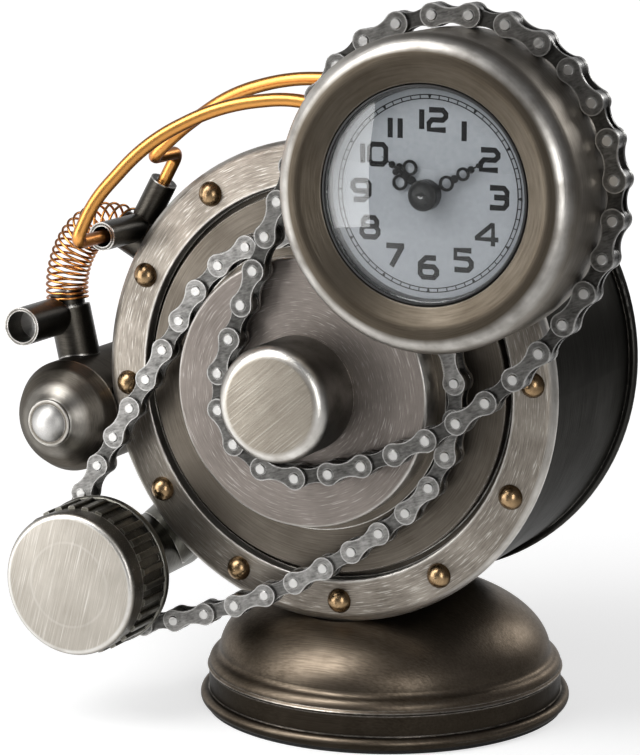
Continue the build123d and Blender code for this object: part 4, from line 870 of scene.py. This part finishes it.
# %% [markdown]
# The rest is plain stuff: satin dial, black hands, moulded plastic, rubber and felt.
# Each still has a little of its own variation, because a flat colour never looks real.


# %% Other finishes
plain_depth = 0.0001


def plain_finish(name, tones, rough, scale, relief, metal=0.0, sheen=0.5):
    """A finish with two close tones and a fine relief from one noise."""
    finishes[name], tree, shader = new_material(name)
    place = add(tree, "ShaderNodeTexCoord")
    grain = noise(tree, place.outputs["Object"], scale)
    amount = ramp(tree, grain, 0.3, 0.7)
    join(tree, blend_colour(tree, amount, tones[0], tones[1]), shader.inputs["Base Color"])
    join(tree, ramp(tree, amount, 0.0, 1.0, rough[0], rough[1]), shader.inputs["Roughness"])
    shader.inputs["Metallic"].default_value = metal
    shader.inputs["Specular IOR Level"].default_value = sheen
    join(tree, bump(tree, grain, relief, plain_depth), shader.inputs["Normal"])


def grey(low, high):
    """Two neutral tones."""
    return ((low, low, low), (high, high, high))


plain_finish("dial_satin", ((0.23, 0.242, 0.26), (0.266, 0.278, 0.296)), (0.45, 0.55), 700.0, 0.05)
plain_finish("print_black", grey(0.006, 0.012), (0.6, 0.7), 1500.0, 0.0, sheen=0.1)
plain_finish("hand_black", grey(0.005, 0.010), (0.5, 0.6), 1500.0, 0.0, sheen=0.15)
plain_finish("cap_gloss", grey(0.006, 0.010), (0.3, 0.4), 400.0, 0.0, sheen=0.35)
plain_finish("case_plastic", grey(0.016, 0.026), (0.45, 0.6), 3500.0, 0.3)
plain_finish("gasket_rubber", grey(0.012, 0.022), (0.6, 0.75), 2500.0, 0.3)
plain_finish("pad_felt", grey(0.014, 0.04), (0.9, 1.0), 2500.0, 0.8)
plain_finish("board_green", ((0.02, 0.13, 0.05), (0.03, 0.19, 0.08)), (0.3, 0.45), 600.0, 0.1)
plain_finish("cup_satin", grey(0.10, 0.15), (0.35, 0.45), 1200.0, 0.08, 1.0)
print("finishes so far", len(finishes))

# %% [markdown]
# The lens is clear and slightly domed. Real glass lets light through to the dial, but a renderer
# treats a refracted shadow as black, so shadow rays pass a plain transparent shader instead.

# %% Lens
finishes["lens_glass"], glass_tree, glass = new_material("lens_glass")
glass.inputs["Base Color"].default_value = (0.97, 0.985, 0.985, 1)
glass.inputs["Roughness"].default_value = 0.01
glass.inputs["IOR"].default_value = 1.5
glass.inputs["Transmission Weight"].default_value = 1.0
let_through = add(glass_tree, "ShaderNodeBsdfTransparent")
glass_rays = add(glass_tree, "ShaderNodeLightPath")
glass_mix = add(glass_tree, "ShaderNodeMixShader")
join(glass_tree, glass_rays.outputs["Is Shadow Ray"], glass_mix.inputs[0])
join(glass_tree, glass.outputs[0], glass_mix.inputs[1])
join(glass_tree, let_through.outputs[0], glass_mix.inputs[2])
join(glass_tree, glass_mix.outputs[0], glass_tree.nodes["Material Output"].inputs["Surface"])
print("all finishes", len(finishes))

# %% [markdown]
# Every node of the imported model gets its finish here. The meshes are not touched.

# %% Dress the nodes
dress = {
    "flange_pewter": ["front_flange"],
    "plate_pewter": ["recess_plate", "chain_pulley", "rear_cover", "head_back_plate"],
    "disc_pewter": ["centre_disc"],
    "knob_pewter": ["centre_knob"],
    "head_pewter": ["head_can"],
    "idler_pewter": ["idler_face"],
    "gunmetal": ["drum_shell", "head_neck"],
    "knob_gunmetal": ["ribbed_knob", "idler_pulley", "idler_spindle", "idler_arm"],
    "bell_gunmetal": ["bell_can", "bell_front"],
    "tube_gunmetal": ["lower_tube", "cross_tube", "upper_tube", "front_socket", "top_socket"],
    "foot_bronze": ["foot_shell"],
    "head_chain": ["head_chain_outer_links"],
    "drum_chain": ["drum_chain_outer_links"],
    "head_chain_inner": ["head_chain_inner_links"],
    "drum_chain_inner": ["drum_chain_inner_links"],
    "roller_steel": ["head_chain_rollers", "drum_chain_rollers"],
    "rivet_brass": ["flange_rivets"],
    "boss_steel": ["bell_boss"],
    "satin_steel": ["cross_tube_plug", "battery"],
    "wire_copper": ["copper_wire_front", "copper_wire_rear", "drive_coil"],
    "spring_copper": ["copper_spring"],
    "plain_steel": [
        "foot_plate",
        "foot_stud",
        "foot_nut",
        "cover_screws",
        "centre_bolt",
        "neck_screws",
    ],
    "gear_brass": ["cannon_pinion", "hour_wheel", "minute_wheel"],
    "dial_satin": ["dial"],
    "hand_black": ["hour_hand", "minute_hand"],
    "cap_gloss": ["hand_cap"],
    "case_plastic": ["movement_case", "movement_cover", "set_knob", "lens_ring"],
    "gasket_rubber": ["insert_gasket"],
    "pad_felt": ["foot_pad"],
    "board_green": ["circuit_board"],
    "cup_satin": ["insert_cup"],
    "lens_glass": ["lens"],
}
for finish_name, node_names in dress.items():
    for node_name in node_names:
        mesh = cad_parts[node_name].data
        mesh.materials.clear()
        mesh.materials.append(finishes[finish_name])
undressed = set(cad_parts) - {name for names in dress.values() for name in names}
print("nodes without a finish", sorted(undressed))

# %% [markdown]
# The dial carries plain numerals and a railway track for the minutes. On the real one they are
# printed; here each is a thin sheet of ink laid on the plate, so that it shows from close by.
# A numeral is a line with a few corners, given as shares of its width and height: a path curve
# gets a round section as wide as the pen, becomes a mesh and is then pressed flat.

# %% Numeral strokes
dial_low, dial_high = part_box("dial")
dial_centre = Vector(((dial_low.x + dial_high.x) / 2, dial_low.y, (dial_low.z + dial_high.z) / 2))
ink = 0.00006
pen_width = 0.0018
thin_pen_shares = {"4": 0.86}
numeral_width = 0.0057
numeral_height = 0.0062
corner = 0.18
low, high = corner, 1 - corner
waist = 0.55
bowl_low = waist - corner
bowl_high = waist + corner * 0.6
numeral_shares = {
    "0": [
        [
            *((low, 0), (high, 0), (1, low), (1, high), (high, 1)),
            *((low, 1), (0, high), (0, low), (low, 0), (high, 0)),
        ]
    ],
    "1": [[(0.5, 0), (0.5, 1)]],
    "2": [
        [
            *((0, 1), (high, 1), (1, high), (1, bowl_high), (high, 0.5)),
            *((low, 0.5), (0, 0.5 - low), (0, 0), (1, 0)),
        ]
    ],
    "3": [
        [
            *((0, 1), (high, 1), (1, high), (1, 0.6), (0.85, 0.52)),
            *((1, 0.44), (1, low), (high, 0), (0, 0)),
        ],
        [(0.25, 0.52), (0.85, 0.52)],
    ],
    "4": [[(0.76, -0.08), (0.76, 1), (0.68, 1), (-0.2, 0.33), (-0.2, 0.26), (1.08, 0.26)]],
    "5": [
        [
            *((1, 1), (0.05, 1), (0.05, 0.58), (high, 0.58)),
            *((1, 0.58 - low), (1, low), (high, 0), (0, 0)),
        ]
    ],
    "6": [
        [
            *((0.95, 1), (0.35, 1), (0, 0.7), (0, low), (low, 0)),
            *((high, 0), (1, low), (1, bowl_low), (high, waist), (0, waist)),
        ]
    ],
    "7": [[(0, 1), (1.08, 1)], [(0.96, 1), (0.32, -0.06)]],
    "8": [
        [
            *((low, 0), (high, 0), (1, low), (1, bowl_low), (high, 0.54)),
            *((low, 0.54), (0, bowl_low), (0, low), (low, 0), (high, 0)),
        ],
        [
            *((low, 0.54), (0.08, 0.66), (0.08, high), (0.24, 1)),
            *((0.76, 1), (0.92, high), (0.92, 0.66), (high, 0.54)),
        ],
    ],
    "9": [
        [
            *((0.05, 0), (0.65, 0), (1, 0.3), (1, high), (high, 1)),
            *((low, 1), (0, high), (0, 0.45 + low), (low, 0.45), (1, 0.45)),
        ]
    ],
}
print("strokes for", "".join(numeral_shares))

# %% [markdown]
# Each digit is drawn at its place on the dial's circle. The digits stay upright, as printed.


# %% Numerals
def draw_digit(digit, left, bottom):
    """A digit as a flat mesh whose lower left corner of the pen's path is at the given place."""
    bpy.ops.curve.primitive_nurbs_path_add(location=(0, 0, 0))
    path = bpy.context.object
    path.data.splines.clear()
    for shares in numeral_shares[digit]:
        spline = path.data.splines.new("POLY")
        spline.points.add(len(shares) - 1)
        for point, (across, up) in zip(spline.points, shares):
            point.co = (left + across * numeral_width, bottom + up * numeral_height, 0, 1)
    path.data.dimensions = "3D"
    path.data.bevel_depth = pen_width / 2 * thin_pen_shares.get(digit, 1)
    path.data.bevel_resolution = 2
    path.data.use_fill_caps = True
    bpy.ops.object.convert(target="MESH")
    path.data.transform(Matrix.Diagonal((1, 1, ink / pen_width, 1)))
    return path


def one_piece(pieces, name):
    """Join flat pieces into one named object."""
    bpy.ops.object.select_all(action="DESELECT")
    for piece in pieces:
        piece.select_set(True)
    bpy.context.view_layer.objects.active = pieces[0]
    bpy.ops.object.join()
    bpy.context.object.name = name
    return bpy.context.object


def lay_on_dial(piece):
    """Stand a flat piece up on the dial's face, make it ink and let it ride on the insert."""
    stand_up = Matrix.Rotation(math.radians(90), 4, "X")
    piece.data.transform(Matrix.Translation(dial_centre) @ stand_up)
    piece.data.materials.clear()
    piece.data.materials.append(finishes["print_black"])
    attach(piece, "insert")


numeral_circle = 0.0234
digit_step = {"10": 0.0051, "11": 0.0034, "12": 0.0053}
digits = []
for hour in range(1, 13):
    turn = math.radians(90 - hour * 30)
    middle_x = numeral_circle * math.cos(turn)
    bottom = numeral_circle * math.sin(turn) - numeral_height / 2
    step = digit_step.get(str(hour), 0.0)
    for index, digit in enumerate(str(hour)):
        shift = (index - 0.5) * step if hour > 9 else 0.0
        digits.append(draw_digit(digit, middle_x + shift - numeral_width / 2, bottom))
numerals = one_piece(digits, "dial_numerals")
lay_on_dial(numerals)
print("numerals", len(digits), "digits,", len(numerals.data.polygons), "faces")

# %% [markdown]
# The minute track is two thin rings with sixty bars between them, and a small wedge at every
# fifth one. A ring starts as a filled circle that is inset and loses its middle. A bar starts as a
# cube that is stretched across the track, and a wedge as one whose inner end is drawn together
# first.

# %% Rings and bars
track_outer = 0.0314
track_inner = 0.0298
line_width = 0.00034
wedge_width = line_width * 4
wedge_tip = 0.15
ring_corners = 180


def flat_ring(inner, outer):
    """A flat ring: a filled circle, inset to its inner edge, with the middle deleted."""
    bpy.ops.mesh.primitive_circle_add(
        vertices=ring_corners, radius=outer, fill_type="NGON", location=(0, 0, 0)
    )
    ring = bpy.context.object
    bpy.ops.object.mode_set(mode="EDIT")
    bpy.ops.mesh.select_all(action="SELECT")
    bpy.ops.mesh.inset(thickness=outer - inner)
    bpy.ops.mesh.delete(type="FACE")
    bpy.ops.mesh.select_all(action="SELECT")
    bpy.ops.mesh.extrude_region_move(TRANSFORM_OT_translate={"value": (0, 0, ink)})
    bpy.ops.mesh.select_all(action="SELECT")
    bpy.ops.mesh.normals_make_consistent(inside=False)
    bpy.ops.object.mode_set(mode="OBJECT")
    return ring


def flat_bar(width, inner_share):
    """A bar across the track at three o'clock, its inner end drawn in to a share of its width."""
    bpy.ops.mesh.primitive_cube_add(size=1, location=(0, 0, 0))
    bar = bpy.context.object
    bpy.ops.object.mode_set(mode="EDIT")
    bpy.ops.mesh.select_all(action="DESELECT")
    bpy.ops.object.mode_set(mode="OBJECT")
    for vertex in bar.data.vertices:
        vertex.select = vertex.co.x < 0
    bpy.ops.object.mode_set(mode="EDIT")
    bpy.ops.transform.resize(value=(1, inner_share, 1), center_override=(0, 0, 0))
    bpy.ops.mesh.select_all(action="SELECT")
    length = track_outer - track_inner
    bpy.ops.transform.resize(value=(length, width, ink), center_override=(0, 0, 0))
    bpy.ops.transform.translate(value=((track_outer + track_inner) / 2, 0, ink / 2))
    bpy.ops.object.mode_set(mode="OBJECT")
    return bar


def turned_copy(piece, turn):
    """A copy of a piece, with its own mesh, turned about the dial's axis."""
    bpy.ops.object.select_all(action="DESELECT")
    piece.select_set(True)
    bpy.ops.object.duplicate()
    copy = bpy.context.selected_objects[0]
    copy.data.transform(Matrix.Rotation(turn, 4, "Z"))
    return copy


print("track from", track_inner, "to", track_outer)

# %% [markdown]
# The bar and the wedge are each modelled once, at three o'clock. Turned copies go round the dial,
# and the two patterns are removed before everything is joined into one piece.

# %% Minute track
plain_bar = flat_bar(line_width, 1.0)
wedge = flat_bar(wedge_width, wedge_tip)
track_pieces = [
    flat_ring(track_outer - line_width, track_outer),
    flat_ring(track_inner, track_inner + line_width),
]
for minute in range(60):
    turn = math.radians(90 - minute * 6)
    track_pieces.append(turned_copy(plain_bar, turn))
    if minute % 5 == 0:
        track_pieces.append(turned_copy(wedge, turn))
for pattern in (plain_bar, wedge):
    bpy.data.objects.remove(pattern)
track = one_piece(track_pieces, "dial_minute_track")
lay_on_dial(track)
print("minute track", len(track.data.polygons), "faces")
